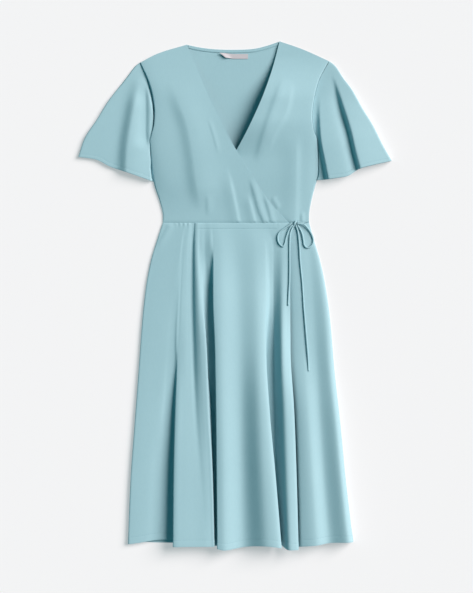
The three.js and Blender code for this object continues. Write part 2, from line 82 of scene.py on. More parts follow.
# Lights: where each stands, counted from +X towards +Y and up, in degrees, and how wide it is in the sky
KEY_LIGHT = {"azimuth": 28, "elevation": 36, "strength": 4.8, "softness": 40, "colour": (1, 0.96, 0.95)}
FILL_LIGHT = {"azimuth": 205, "elevation": 24, "strength": 0.34, "softness": 50, "colour": (0.25, 0.88, 1)}
STUDIO_COLOUR = (0.15, 0.86, 1.0)
STUDIO_STRENGTH = 0.12

# Stitches: from one to the next, how long a stitch is and how thick its thread is
DRESS_STITCH = {"pitch": 3.2, "length": 2.4}
LABEL_STITCH = {"pitch": 2.0, "length": 1.4}
THREAD_RADIUS = 0.22
THREAD_LIFT = {"hem": 0.56, "waist": 0.6, "binding": 0.45, "label": 0.35}    # over the middle of the cloth

# How finely the cloth is divided
SKIRT_FRONT_ROWS = {"fine": 24, "fine_step": 1.6, "coarse_step": 5.5}
SKIRT_BACK_ROWS = {"fine": 20, "fine_step": 2.5, "coarse_step": 9}
SKIRT_BACK_COLUMNS = 75
OVER_PANEL_STEPS = 6        # from one fold line to the next
UNDER_PANEL_STEPS = 12
BODICE_COLUMNS = {"right": 130, "left": 120, "back": 110}
TIE_SIDES = 12

# Side outline of the dress below the waist: heights, and how far out each side is there.
SIDE_HEIGHTS = [159.5, 126, 74, 21, -58, -164, -296, -402, -507, -549]
SIDES = {
    "right": [-158.4, -169.4, -184.8, -194.7, -203.5, -211.2, -221.1, -228.8, -233.2, -234.5],
    "left": [162.8, 171.6, 187, 198, 209, 217.8, 232.1, 242, 254.1, 259.6],
}

# Lines down the front skirt at seven heights: name, how across is counted, across, z, and how low the
# hem hangs there. Across is a pixel of the photograph, or millimetres in from the side outline. The folds
# are lettered A to G from the right side seam to the left one, and F is the wrap edge.
FOLD_HEIGHTS = [159.5, 100, 6, -120, -252, -384, -549]

OVER_PANEL_LINES = [
    ("side seam", "inset", [1.2] * 7, [1.9] * 7, -546.7),
    ("side wall", "inset", [0.5] * 7, [2.3, 2.6, 3, 3.4, 3.8, 4.2, 4.6], -546.5),
    ("side edge", "inset", [0] * 7, [2.7, 3.2, 4.2, 5.2, 6, 6.6, 7.2], -546.2),
    ("side turn", "inset", [0.6] * 7, [3.1, 3.8, 5, 6, 6.9, 7.5, 8.2], -546),
    ("side flat", "inset", [9] * 7, [3.5, 4.3, 5.6, 6.7, 7.5, 8.1, 8.8], -545.6),
    ("crest before A", "pixel",
     [177, 170, 162, 157, 152, 149, 146], [4, 5.2, 6.6, 7.4, 7.4, 7.6, 8], -541),
    ("slope of A", "pixel",
     [180, 175, 170, 166, 161, 157, 154], [4.3, 5.6, 7, 7.5, 6.6, 6, 6], -538),
    ("floor of A", "pixel",
     [183, 179, 174.5, 170, 166.5, 164, 163], [4.6, 6, 7.2, 7.2, 5, 4.4, 4.4], -537),
    ("turn of A", "pixel",
     [184.5, 180.5, 177, 174.5, 176, 177, 177], [4.8, 6.1, 7.3, 7.6, 5, 4.4, 4.4], -540),
    ("back of A", "pixel",
     [185.5, 182, 179, 176.5, 177.5, 178, 178], [4.9, 5.8, 7.4, 9, 9.6, 11.6, 13.6], -545),
    ("edge of A", "pixel",
     [187, 183.5, 180.5, 178, 175.4, 174, 173.4], [4.9, 5.8, 7.2, 9.6, 16, 23, 27.4], -551),
    ("shoulder of A", "pixel",
     [188, 184.5, 182, 180.5, 177.4, 176, 175.6], [4.9, 5.9, 7.4, 10.2, 17.8, 24.8, 29], -551.5),
    ("crest after A", "pixel",
     [189.4, 187, 186, 185, 184, 183, 183], [5, 5.8, 7, 10.6, 17.6, 24.8, 28.8], -551),
    ("before B", "pixel",
     [191, 189.6, 188.8, 190, 192, 195, 198], [4.6, 5.2, 6.4, 10, 16.8, 23.6, 27], -551),
    ("valley of B", "pixel",
     [193.6, 193, 192.8, 193.6, 196, 200.4, 206], [3.8, 4.7, 6, 9.6, 16.4, 23.2, 26.4], -551),
    ("wall of B", "pixel",
     [195.6, 195, 195.4, 197.4, 200, 204.4, 209], [5.6, 8.6, 11.2, 14.8, 18.8, 23.8, 25.8], -551),
    ("after B", "pixel",
     [197.4, 197.4, 198.6, 201.5, 205, 208.5, 211.4], [6.2, 9.6, 13.6, 18, 20.6, 23.8, 25.2], -551),
    ("rim of C", "pixel",
     [200, 199.4, 202, 206.6, 208.8, 212.2, 214.2], [5.9, 8.8, 11.6, 17.6, 20.2, 23, 24.4], -550.5),
    ("wall of C", "pixel",
     [202.5, 202, 204, 205.8, 210.4, 212.4, 214.2], [5.7, 8.4, 8.6, 12, 12.5, 13, 13], -550),
    ("floor of C", "pixel",
     [205, 205, 207.4, 206.8, 211.6, 213.4, 215], [5.6, 8.2, 4.8, 4.6, 4.6, 4.6, 4.6], -550),
    ("far floor of C", "pixel",
     [207.4, 207.6, 211, 213.6, 215.4, 216.8, 218], [5.7, 9.2, 4.6, 4.6, 4.6, 4.6, 4.6], -550.5),
    ("turn of C", "pixel",
     [209, 209.6, 215, 221, 223, 225, 227], [5.8, 10.2, 6, 6.4, 6.4, 6.4, 6.4], -552),
    ("back of C", "pixel",
     [210.5, 211.5, 215.6, 221, 222.6, 224, 226], [5.8, 11, 12, 14.5, 15.5, 16.5, 17.5], -554),
    ("edge of C", "pixel",
     [212, 213.4, 213.2, 215.2, 216.2, 216.8, 217.5], [5.8, 11.6, 20.6, 26, 27.4, 28, 28.6], -555.5),
    ("shoulder of C", "pixel",
     [214, 215.4, 215, 217, 218, 218.8, 219.6], [5.9, 12, 21.8, 27.4, 28.8, 29.4, 29.8], -557),
    ("crest of the middle", "pixel",
     [218, 221, 221.5, 222, 223, 224, 225], [5.9, 12.4, 22, 27.6, 29, 29.8, 30], -558.8),
    ("dip of the middle", "pixel",
     [232, 236, 238.5, 240.5, 241.5, 243, 245], [5.6, 10, 15.4, 19.8, 20.2, 19.4, 18], -551.5),
    ("crest of D", "pixel",
     [250, 255, 257, 258.5, 260, 262.5, 267], [5.6, 11.4, 17, 25.2, 34.6, 37.2, 37.6], -549.5),
    ("edge of E", "pixel",
     [258, 265, 265, 265.6, 269.4, 274.9, 281.2], [5.5, 9.8, 13, 20, 29.4, 32, 33.4], -553.3),
    ("back of E", "pixel",
     [260.5, 267, 267.6, 266, 265, 270, 276], [5.5, 8.8, 9.6, 10.6, 12, 13, 14], -551),
    ("turn of E", "pixel",
     [263, 269, 269.4, 265.6, 263, 267, 274], [5.5, 8, 7, 5.6, 5.6, 5.6, 5.6], -550),
    ("floor of E", "pixel",
     [265, 272, 272.2, 270, 268, 272.6, 279], [5.5, 7.2, 5.4, 4.6, 4.6, 4.6, 4.6], -549),
    ("far floor of E", "pixel",
     [268, 273.6, 273.8, 273.8, 274.6, 277, 281.4], [5.5, 6.8, 5.2, 4.6, 4.6, 4.6, 4.6], -548.5),
    ("wall of E", "pixel",
     [272, 276.4, 276.6, 276.6, 278.2, 280, 283.6], [5.5, 7.2, 7.4, 14.5, 17, 18, 18.5], -552),
    ("crest by the wrap edge", "pixel",
     [280, 282, 281.8, 281.8, 284, 286, 288.6], [5.5, 8.6, 13.2, 27.8, 32, 35, 36.2], -557.7),
    ("before the wrap edge", "pixel",
     [285, 287, 287.6, 288, 291, 293.5, 295.6], [5.4, 8.3, 11.4, 22, 30.4, 33.4, 34.4], -557.5),
    ("wrap edge", "pixel",
     [289.1, 289.6, 290, 290.3, 294, 296.2, 298.3], [5.2, 8, 10.7, 17.6, 27.5, 30.4, 31.6], -557),
]

UNDER_PANEL_LINES = [
    ("inner edge", "pixel", [190, 188.5, 187, 185, 182.5, 181, 178.6], [2.6] * 7, -543),
    ("hidden middle", "pixel", [230.5, 232, 233, 235, 236.5, 237.5, 238.6], [2.6] * 7, -543),
    ("start of the rise", "pixel",
     [274, 276.5, 278.6, 280, 282, 284, 286.4], [2.6, 2.6, 2.6, 2.6, 2.6, 2.6, 2.8], -545),
    ("below the wrap edge", "pixel",
     [288.6, 290, 290.6, 290.6, 293.6, 295.6, 297.6], [3.1, 4.8, 8.2, 12, 19, 19.5, 20], -551),
    ("shoulder wall", "pixel",
     [290.6, 292, 292.4, 292.8, 296, 298, 300], [3.2, 5.4, 9.4, 13.6, 23.4, 26, 27.5], -550.5),
    ("shoulder", "pixel",
     [293, 294.5, 295, 295.6, 299, 301.4, 303.6], [3.5, 6, 10.2, 14.8, 26, 29, 30.5], -550),
    ("crest", "pixel",
     [297.7, 301, 302, 303, 307, 311, 316], [3.7, 6.5, 10.8, 15.4, 27.4, 31, 33], -548),
    ("valley of G", "pixel",
     [301, 309, 312.5, 315.5, 319, 323, 329], [3.7, 5.7, 9.6, 12.8, 20.6, 22, 22.5], -543),
    ("rim", "inset", [8.8, 6.6, 9, 10, 10, 10, 12], [3.6, 5.6, 11, 17, 26.4, 29.8, 31.6], -541.5),
    ("side roll", "inset", [2, 2, 2.4, 2.6, 2.6, 2.6, 3], [3, 4.8, 9, 14, 21, 23.5, 24.5], -541),
    ("side wall", "inset", [0.1] * 7, [2.4, 3.2, 5, 7, 10.5, 11.5, 12], -540.5),
    ("side seam", "inset", [1.2] * 7, [1.9] * 7, -540),
]

BACK_HEM = {"y": -541, "wave": 3, "length": 70}

# How high the fronts stand over the back along the middle of the bodice, and its half width there.
CHEST_HEIGHTS = [159, 200, 270, 350, 430, 500, 560]
CHEST_RISE = [1.2, 3.5, 8.5, 11, 10, 5, 1.5]
CHEST_HALF_WIDTH = [163, 173, 190, 201, 199, 219, 230]
CHEST_ROUNDNESS = {"low": 4, "high": 16, "from": 170, "to": 330}     # the power of its curve across
CLIMB = {"from": 95, "to": 4, "height": 1.5}    # the right front climbs onto the left one by its inner edge

# Outlines of the bodice, as points on smooth curves.
RIGHT_SIDE = [
    (-158.4, BODICE_END), (-158.4, 179), (-165, 206), (-177, 243), (-182.6, 276), (-186, 309), (-189, 341),
]
LEFT_SIDE = [
    (162.8, BODICE_END), (162.8, 179), (167.2, 206), (176, 241), (182, 262), (183, 290), (181.5, 341),
]
RIGHT_ARMHOLE = [(-189, 341), (-179, 375), (-178, 412), (-188, 463), (-209, 511.5)]
LEFT_ARMHOLE = [(181.5, 341), (172.5, 368), (171, 410), (184, 470), (206.8, 515)]
RIGHT_SHOULDER = [(-209, 511.5), (-169, 532), (-105.6, 551.5)]
LEFT_SHOULDER = [(206.8, 515), (149, 541), (98, 558.8)]
BACK_NECK = [(-105.6, 551.5), (-77, 545.5), (-42, 541.5), (7, 540.5), (44, 543), (72.6, 550), (98, 558.8)]
OVER_NECK = [
    (118.5, BODICE_END), (77, 204), (44, 254), (2.2, 321), (-35, 390), (-66, 456), (-105.6, 551.5),
]
UNDER_NECK = [(-99, BODICE_END), (-50, 245), (4.4, 322), (54, 421), (81.4, 496), (98, 558.8)]
# The under front stands off the back along its neck edge, between these heights.
NECK_LIFT = {"height": 17, "width": 110, "starts": 300, "full_from": 390, "full_to": 430, "ends": 530}

# Tables of creases. Each row is a line drawn down the cloth, the half widths of the crease to the left
# and right of it, its height, up or down, and the shares of its length over which it fades in and out.
HIP_CREASES = [([(-141, 158), (-152, 137), (-165, 115), (-172, 96)], 4, 7, 0.9, 0.1, 0.5)]
OVER_CREASES = [
    ([(-142, 480), (-124, 430), (-104, 375), (-93, 320), (-84, 254), (-70, 180)], 17, 45, 4.2, 0.3, 0.2),
    ([(-59, 392), (-46, 350), (-35, 306)], 3, 6, 0.5, 0.3, 0.3),
    ([(-59.4, 228), (-59.4, 171)], 4, 10, 0.8, 0.4, 0.4),
    ([(-22, 287), (-9, 236.5), (6.6, 160)], 16, 5, 1.6, 0.5, 0.01),
    ([(27.5, 226), (34, 195), (43, 160)], 12, 4, 1.4, 0.4, 0.01),
    ([(34, 262), (45, 221), (56, 184), (67, 159)], 5, 10, 1.8, 0.3, 0.01),
    ([(65, 221), (74, 192.5), (82.5, 160)], 4, 8, 1.4, 0.3, 0.01),
]
UNDER_CREASES = [
    ([(110, 485), (68, 364), (46, 287)], 8, 14, 1.8, 0.25, 0.2),
    ([(124, 480), (112, 408), (82, 350), (66, 300)], 22, 8, 1.6, 0.3, 0.3),
    ([(134, 364), (132, 265), (130, 160)], 25, 10, 1.9, 0.3, 0.01),
    ([(80.3, 216), (96, 190)], 2.5, 6, 1.2, 0.2, 0.2),
    ([(147.4, 185), (147.4, 160)], 3, 6, 1.3, 0.4, 0.01),
]

# Seams and trim. The waist seam rolls in, is drawn up a little in places and has a row of stitches below.
WAIST_ROLL = {"front": 0.6, "bodice": 0.9}
PUCKER = {"height": 0.35, "pitch": 1.5, "depth": 7}
PUCKERED = [(-142, -134, -103, -97), (80, 86, 97, 102)]     # beside the first fold and before the bow
WAIST_ROW = {"depth": 13, "pinch": 0.4, "from": -84, "to": 92}
HEM_PINCH = 0.7             # how far the cloth is drawn in along a row of stitches
BINDING = {"inset": 0.6, "width": 6.4, "thickness": 0.8, "crown": 0.35, "ends": 0.02, "above_back": 0.45}
LABEL = {"x": -21, "y": 520.5, "width": 49.6, "depth": 10.6, "thickness": 0.6, "skew": 13, "rise": 2.5,
         "lift": 4, "wave": 0.5, "above_back": 0.55}

# Sleeves: their outlines, the ledge that the front lies on beside the body, and their creases.
SLEEVES = {
    "right": {
        "armhole": RIGHT_ARMHOLE[::-1],
        "outward": -1,
        "outer": [(-218, 505), (-242, 474), (-279.4, 426), (-304, 386), (-330, 346.5), (-344.3, 304.7)],
        "hem": [(-344.3, 304.7), (-303.6, 298), (-277, 284), (-245, 273), (-222, 265), (-180.5, 250)],
        "inner": [(-186.6, 309), (-183.4, 280), (-179, 250)],
        "ledge": 4,
        "armhole_lift": 0.6,
        "creases": [
            ([(-203, 492), (-213, 448), (-222, 404), (-231, 353), (-236, 309), (-238, 220)],
             15, 60, 9, 0.3, 0.01),
            ([(-199, 470), (-197, 408), (-197, 352), (-194, 318)], 20, 6.5, -4, 0.25, 0.2),
        ],
    },
    "left": {
        "armhole": LEFT_ARMHOLE[::-1],
        "outward": 1,
        "outer": [
            (220, 505), (237.6, 478.5), (257.4, 452), (279.4, 412.5), (303.6, 373), (323.4, 333),
            (344.3, 296),
        ],
        "hem": [
            (344.3, 296), (297, 285), (272.8, 278), (248.6, 263), (224.4, 258.5), (199, 255), (180, 253.5),
        ],
        "inner": [(182.9, 325), (183.6, 305), (183.7, 285), (183, 265), (180, 253.5)],
        "ledge": 0,
        "armhole_lift": 4,
        "creases": [
            ([(215.6, 492), (229, 448), (242, 404), (254, 364), (265, 316), (285, 240)],
             4.5, 85, 9.8, 0.4, 0.01),
            ([(209, 492), (222, 448), (236, 404), (248, 364), (259, 316), (279, 240)],
             15, 4, -4, 0.45, 0.01),
            ([(190, 448), (187.5, 419), (187.5, 386), (190, 342), (198, 298), (211, 230)],
             5, 120, 13, 0.6, 0.01),
        ],
    },
}
SLEEVE_HEM_LIFT = 4.6
SLEEVE_EDGE = 0.008         # share of the width over which the front of a sleeve rolls down at either side

# The tie: its knot, and its runs as the points that each passes through, the same as in the part.
TIE_WIDTH = 3.4
TIE_DEPTH = 2.6
KNOT = {"x": 131.5, "y": 159.5, "z": 7.9, "half_width": 1.98, "half_length": 3.4, "half_height": 1.9,
        "turns": 1.5, "lean": 0.5, "step": 0.6}
TIE_ROUTES = {
    "tie_side": [
        (136.8, 161, 6.8), (143, 160.6, 6.5), (150, 160.2, 6.6), (156, 162, 5.9), (162.5, 163.6, 5.6),
    ],
    "bow_loop_right": [
        (125.7, 160, 8.9), (120.5, 155.5, 9.2), (112, 149.6, 9), (103, 143.5, 9.1), (96, 136, 9.4),
        (93.8, 127, 9.6), (95.8, 117, 10), (101, 110, 10.4), (106, 107.8, 10.4), (109.4, 114, 10.1),
        (112.5, 127, 9.6), (117, 140, 9.5), (122, 150, 9.6), (126.8, 155.1, 9.4),
    ],
    "bow_loop_left": [
        (136.9, 157.8, 9.4), (144, 157.6, 9.7), (151.8, 156, 9), (160.5, 147, 7.5), (168, 135.5, 7.1),
        (172, 123, 7), (170.5, 112.5, 7.8), (164, 106.3, 8.5), (157, 105.6, 8.6), (152.2, 111, 8.6),
        (150.4, 122, 8.1), (147.5, 136, 7.6), (142.5, 147.5, 7.4), (137.8, 154.2, 8.2),
    ],
    "tie_tail_right": [
        (129.9, 153.8, 6.8), (126.5, 148.8, 6.8), (122.8, 140, 7.6), (120.8, 129, 9.3), (120, 115, 9.7),
        (119.8, 95, 10.3), (120, 60, 11.5), (119.5, 30, 12.6), (118, 5, 13.7), (116.5, -22, 14.9),
    ],
    "tie_tail_left": [
        (133.4, 153.9, 7), (136.6, 146.5, 7.2), (138.8, 138, 7.6), (140.3, 125, 8.1), (141.8, 105, 8.9),
        (143, 80, 9.8), (145.3, 55, 10.9), (147.5, 33, 11.8), (149.2, 8, 12.8), (151, -22, 14),
        (153.6, -54, 15.3), (157.3, -98, 17), (160.6, -142, 18.4), (161.5, -166, 19.2),
    ],
}


# Smooth values and curves

def smooth_step(start, end, x):
    t = np.clip((np.asarray(x, float) - start) / (end - start), 0, 1)
    return t * t * (3 - 2 * t)


def bell(x, width):
    return np.exp(-((np.asarray(x, float) / width) ** 2))


def value_at(heights, values, y):
    """A value that changes smoothly from one height to the next and never swings past either of them."""
    h = np.asarray(heights, float)
    v = np.asarray(values, float)
    if h[0] > h[-1]:
        h, v = h[::-1], v[::-1]
    slope = np.diff(v) / np.diff(h)
    below, above = slope[:-1], slope[1:]
    product = below * above
    total = np.where(below + above == 0, 1, below + above)
    tangent = np.concatenate([slope[:1], np.where(product > 0, 2 * product / total, 0), slope[-1:]])
    y = np.clip(np.asarray(y, float), h[0], h[-1])
    k = np.clip(np.searchsorted(h, y) - 1, 0, len(h) - 2)
    step = h[k + 1] - h[k]
    t = (y - h[k]) / step
    t2, t3 = t * t, t * t * t
    return ((2 * t3 - 3 * t2 + 1) * v[k] + (t3 - 2 * t2 + t) * step * tangent[k]
            + (3 * t2 - 2 * t3) * v[k + 1] + (t3 - t2) * step * tangent[k + 1])


def curve_through(points, steps):
    """Points on a smooth curve, so many for each stretch; many curves at once, along the axis before last."""
    p = np.asarray(points, float)
    first = 2 * p[..., :1, :] - p[..., 1:2, :]
    last = 2 * p[..., -1:, :] - p[..., -2:-1, :]
    p = np.concatenate([first, p, last], axis=-2)
    a, b, c, d = p[..., :-3, :], p[..., 1:-2, :], p[..., 2:-1, :], p[..., 3:, :]
    d0, d1, d2 = (np.maximum(np.linalg.norm(q - r, axis=-1, keepdims=True) ** 0.5, 0.01)
                  for q, r in ((b, a), (c, b), (d, c)))
    start = ((b - a) / d0 - (c - a) / (d0 + d1) + (c - b) / d1) * d1
    end = ((c - b) / d1 - (d - b) / (d1 + d2) + (d - c) / d2) * d1
    parts = []
    for t in np.arange(steps) / steps:
        t2, t3 = t * t, t * t * t
        parts.append((2 * t3 - 3 * t2 + 1) * b + (t3 - 2 * t2 + t) * start
                     + (3 * t2 - 2 * t3) * c + (t3 - t2) * end)
    made = np.stack(parts, axis=-2)
    made = made.reshape(*made.shape[:-3], -1, made.shape[-1])
    return np.concatenate([made, p[..., -2:-1, :]], axis=-2)


def by_length(points):
    """A curve through points as a function of the share of its length."""
    fine = curve_through(points, 40)
    run = np.concatenate([[0], np.cumsum(np.linalg.norm(np.diff(fine, axis=0), axis=1))])
    run /= run[-1]
    return lambda t: np.stack([np.interp(t, run, fine[:, k]) for k in range(fine.shape[1])], axis=-1)


def joined(parts):
    """Several curves end to end; parts are (points, where it ends from 0 to 1)."""
    curves = [(by_length(points), until) for points, until in parts]

    def at(t):
        t = np.asarray(t, float)
        out = np.zeros((*t.shape, 2))
        start = 0.0
        for curve, until in curves:
            here = (t >= start - 1e-9) & (t <= until + 1e-9)
            out[here] = curve(np.clip((t[here] - start) / (until - start), 0, 1))
            start = until
        return out

    return at


def straight(a, b):
    a, b = np.asarray(a, float), np.asarray(b, float)
    return lambda t: a + (b - a) * np.asarray(t, float)[..., None]


def patch(bottom, top, first, last, s, t):
    """A four-sided patch between its edges, as rows of points up the dress."""
    b, u = bottom(s)[None], top(s)[None]
    f, e = first(t)[:, None], last(t)[:, None]
    s, t = s[None, :, None], t[:, None, None]
    c = [b[:, :1], b[:, -1:], u[:, :1], u[:, -1:]]
    flat = (1 - s) * (1 - t) * c[0] + s * (1 - t) * c[1] + (1 - s) * t * c[2] + s * t * c[3]
    return b * (1 - t) + u * t + f * (1 - s) + e * s - flat


# Meshes

def add_object(name, data):
    made = bpy.data.objects.new(name, data)
    bpy.context.scene.collection.objects.link(made)
    return made


def surface_normals(grid, round_across=False):
    across = np.gradient(grid, axis=1)
    if round_across:
        across = np.roll(grid, -1, axis=1) - np.roll(grid, 1, axis=1)
    down = np.gradient(grid, axis=0)
    normal = np.cross(across, down)
    length = np.linalg.norm(normal, axis=2, keepdims=True)
    return normal / np.maximum(length, 1e-9)


def cloth_lengths(grid):
    """How far each point is along and across the cloth, in metres, for grain that follows it."""
    steps_across = np.linalg.norm(np.diff(grid, axis=1), axis=2)
    steps_down = np.linalg.norm(np.diff(grid, axis=0), axis=2)
    u = np.concatenate([np.zeros((grid.shape[0], 1)), np.cumsum(steps_across, axis=1)], axis=1)
    v = np.concatenate([np.zeros((1, grid.shape[1])), np.cumsum(steps_down, axis=0)], axis=0)
    return np.stack([u, v], axis=-1) * MM


def cloth_piece(name, grid, thickness=WALL, round_across=False):
    """A closed thin shell round a grid of middle points, its thickness given for all or for each point."""
    rows, columns = grid.shape[:2]
    normal = surface_normals(grid, round_across)
    half = np.broadcast_to(np.asarray(thickness, float) / 2, (rows, columns))[..., None]
    faces_up = np.mean(normal[..., 2]) > 0 or round_across
    sign = 1 if faces_up else -1
    top = grid + sign * normal * half
    under = grid - sign * normal * half
    points = np.concatenate([top.reshape(-1, 3), under.reshape(-1, 3)]) * MM
    count = rows * columns
    number = np.arange(count).reshape(rows, columns)
    if round_across:
        number = np.concatenate([number, number[:, :1]], axis=1)
    a, b, c, d = number[:-1, :-1], number[:-1, 1:], number[1:, 1:], number[1:, :-1]
    face = np.stack([a, b, c, d], axis=-1).reshape(-1, 4)
    quads = [face, face[:, ::-1] + count]
    rims = [(number[0, 1:], number[0, :-1]), (number[-1, :-1], number[-1, 1:])]
    if not round_across:
        rims += [(number[:-1, 0], number[1:, 0]), (number[1:, -1], number[:-1, -1])]
    for start, end in rims:
        quads.append(np.stack([start, end, end + count, start + count], axis=-1))
    quads = np.concatenate(quads)
    mesh = bpy.data.meshes.new(name)
    mesh.from_pydata(points.tolist(), [], quads.tolist())
    lengths = cloth_lengths(grid).reshape(-1, 2)
    uv = mesh.uv_layers.new(name="cloth")
    corner = np.array([loop.vertex_index for loop in mesh.loops])
    uv.data.foreach_set("uv", lengths[corner % count].ravel())
    mesh.shade_smooth()
    mesh.set_sharp_from_angle(angle=math.radians(55))
    mesh.update()
    piece = add_object(name, mesh)
    turn_outwards(piece)
    return piece


def turn_outwards(piece):
    """Points the faces of a closed piece outwards, found from the sign of its volume."""
    mesh = piece.data
    mesh.calc_loop_triangles()
    corners = np.array([t.vertices for t in mesh.loop_triangles])
    points = np.array([v.co for v in mesh.vertices])
    a, b, c = points[corners[:, 0]], points[corners[:, 1]], points[corners[:, 2]]
    if np.einsum("ij,ij->i", a, np.cross(b, c)).sum() < 0:
        mesh.flip_normals()


def finish_piece(piece, material, slot, *nodes):
    piece.data.materials.clear()
    piece.data.materials.append(material)
    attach(piece, "root")
    if nodes:
        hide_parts(*nodes)
    return piece


def rows_down(top, bottom, fine, fine_step, coarse_step):
    """Rows as shares of the way down, close together over a fine stretch at either end."""
    length = abs(top - bottom)
    close = np.arange(0, fine, fine_step)
    middle = np.linspace(fine, length - fine, max(2, int((length - 2 * fine) / coarse_step)))
    run = np.concatenate([close, middle, length - close[::-1]])
    return np.unique(np.round(run, 4)) / length


# Creases

def distance_to_line(x, y, line):
    """How far points are from a line, positive to the right going along it, and how far along they are."""
    line = np.asarray(line, float)
    run = np.concatenate([[0], np.cumsum(np.linalg.norm(np.diff(line, axis=0), axis=1))])
    best = np.full(np.shape(x), 1e9)
    signed = np.zeros(np.shape(x))
    along = np.zeros(np.shape(x))
    for (a, b), start in zip(zip(line[:-1], line[1:]), run[:-1]):
        way = b - a
        length = np.linalg.norm(way)
        way = way / length
        off_x, off_y = x - a[0], y - a[1]
        t = np.clip(off_x * way[0] + off_y * way[1], 0, length)
        gap_x, gap_y = off_x - t * way[0], off_y - t * way[1]
        gap = np.hypot(gap_x, gap_y)
        nearer = gap < best
        best = np.where(nearer, gap, best)
        side = np.sign(gap_x * way[1] - gap_y * way[0])
        signed = np.where(nearer, side * gap, signed)
        along = np.where(nearer, (start + t) / run[-1], along)
    return signed, along


def creases(x, y, table):
    total = np.zeros(np.shape(x))
    for line, left, right, height, fade_in, fade_out in table:
        off, along = distance_to_line(x, y, curve_through(line, 8))
        ends = smooth_step(0, max(fade_in, 1e-3), along) * smooth_step(1, 1 - max(fade_out, 1e-3), along)
        total += height * bell(off, np.where(off > 0, left, right)) * ends
    return total


# Skirt

def side_x(side, y):
    return value_at(SIDE_HEIGHTS, SIDES[side], np.maximum(y, HEM_Y))


def pixel_x(pixel):
    return (pixel - PHOTO_ORIGIN[0]) * PHOTO_SCALE


def panel_grid(lines, side, steps_across):
    """Middle points of a front skirt panel, from the waist to the hem."""
    inward = 1 if side == "right" else -1
    v = rows_down(SKIRT_TOP, HEM_Y, **SKIRT_FRONT_ROWS)
    level = SKIRT_TOP + (HEM_Y - SKIRT_TOP) * v
    columns = []
    for _, counted, across, z, end in lines:
        x = value_at(FOLD_HEIGHTS, across, level)
        x = side_x(side, level) + inward * x if counted == "inset" else pixel_x(x)
        y = SKIRT_TOP + (end - SKIRT_TOP) * v
        columns.append(np.stack([x, y, value_at(FOLD_HEIGHTS, z, level)], axis=-1))
    grid = curve_through(np.stack(columns, axis=1), steps_across)
    floor = np.full(grid.shape[:2], FRONT_Z)
    if side == "right":
        inner = pixel_x(value_at(FOLD_HEIGHTS, UNDER_PANEL_LINES[0][2], level))[:, None]
        floor = np.where(grid[..., 0] > inner - 2 * LAYER, FRONT_Z + LAYER, FRONT_Z)
    near_side = np.minimum(np.abs(grid[..., 0] - side_x(side, level)[:, None]) / 4, 1)
    floor = EDGE_Z + (floor - EDGE_Z) * near_side
    grid[..., 2] = np.maximum(grid[..., 2], floor)
    return grid


def from_seam(grid):
    """How far each point is below the waist seam, and above the hem."""
    down = np.linalg.norm(np.diff(grid, axis=0), axis=2)
    run = np.concatenate([np.zeros((1, grid.shape[1])), np.cumsum(down, axis=0)], axis=0)
    return run, run[-1:] - run


def hem_wall(to_hem, depth=HEM_DEPTH):
    """Thickness of the cloth with a turned-up hem, pinched in along the row of stitches."""
    turned = smooth_step(depth + 1.6, depth + 0.2, to_hem)
    pinch = HEM_PINCH * bell(to_hem - depth, 1.4)
    rounded = 0.5 * smooth_step(1.2, 0, to_hem)
    return WALL + (HEM_WALL - WALL) * turned - pinch - rounded


def within(x, start, full_from, full_to, end):
    """1 inside a stretch of the waist seam, fading to 0 at both its ends."""
    return smooth_step(start, full_from, x) * smooth_step(end, full_to, x)


def make_skirt_front(side, lines, steps_across):
    grid = panel_grid(lines, side, steps_across)
    below, above = from_seam(grid)
    x = grid[..., 0]
    grid[..., 2] -= WAIST_ROLL["front"] * bell(below, 1.4)
    if side == "right":
        first, last = WAIST_ROW["from"], WAIST_ROW["to"]
        row_shown = within(x, first - 8, first + 4, last - 6, last + 6)
        grid[..., 2] -= WAIST_ROW["pinch"] * bell(below - WAIST_ROW["depth"], 1.2) * row_shown
    puckered = sum(within(x, *stretch) for stretch in PUCKERED)
    grid[..., 2] += PUCKER["height"] * np.sin(x / PUCKER["pitch"]) * bell(below, PUCKER["depth"]) * puckered
    if side == "right":
        grid[..., 2] += creases(x, grid[..., 1], HIP_CREASES)
    piece = cloth_piece(f"skirt_front_{side}_cloth", grid, hem_wall(above))
    return piece, grid


def make_skirt_back():
    v = rows_down(SKIRT_TOP, HEM_Y, **SKIRT_BACK_ROWS)
    s = np.linspace(0, 1, SKIRT_BACK_COLUMNS)
    level = SKIRT_TOP + (HEM_Y - SKIRT_TOP) * v
    right, left = side_x("right", level)[:, None], side_x("left", level)[:, None]
    x = right + (left - right) * s[None]
    end = BACK_HEM["y"] + BACK_HEM["wave"] * np.sin(x / BACK_HEM["length"])
    y = SKIRT_TOP + (end - SKIRT_TOP) * v[:, None]
    grid = np.stack([x, y, np.full(x.shape, BACK_Z)], axis=-1)
    return cloth_piece("skirt_back_cloth", grid)


# Bodice

def chest_rise(x, y):
    q = np.minimum(1, np.abs(x) / value_at(CHEST_HEIGHTS, CHEST_HALF_WIDTH, y))
    low, high = CHEST_ROUNDNESS["low"], CHEST_ROUNDNESS["high"]
    roundness = low + (high - low) * smooth_step(CHEST_ROUNDNESS["from"], CHEST_ROUNDNESS["to"], y)
    return value_at(CHEST_HEIGHTS, CHEST_RISE, y) * (1 - q ** roundness)


def edge_x(outline, y):
    """How far across an outline is at each height."""
    across, heights = zip(*outline)
    return value_at(heights, across, y)


def to_waist(z, y):
    """The cloth rolls down into the waist seam."""
    return z - WAIST_ROLL["bodice"] * bell(y - BODICE_END, 2.4)


def over_height(x, y):
    on_under = smooth_step(-CLIMB["from"], -CLIMB["to"], x - edge_x(UNDER_NECK, y))
    folds = creases(x, y, OVER_CREASES)
    z = FRONT_Z + chest_rise(x, y) + CLIMB["height"] * on_under
    return to_waist(z + np.where(folds < 0, folds * (1 - 0.6 * on_under), folds), y)


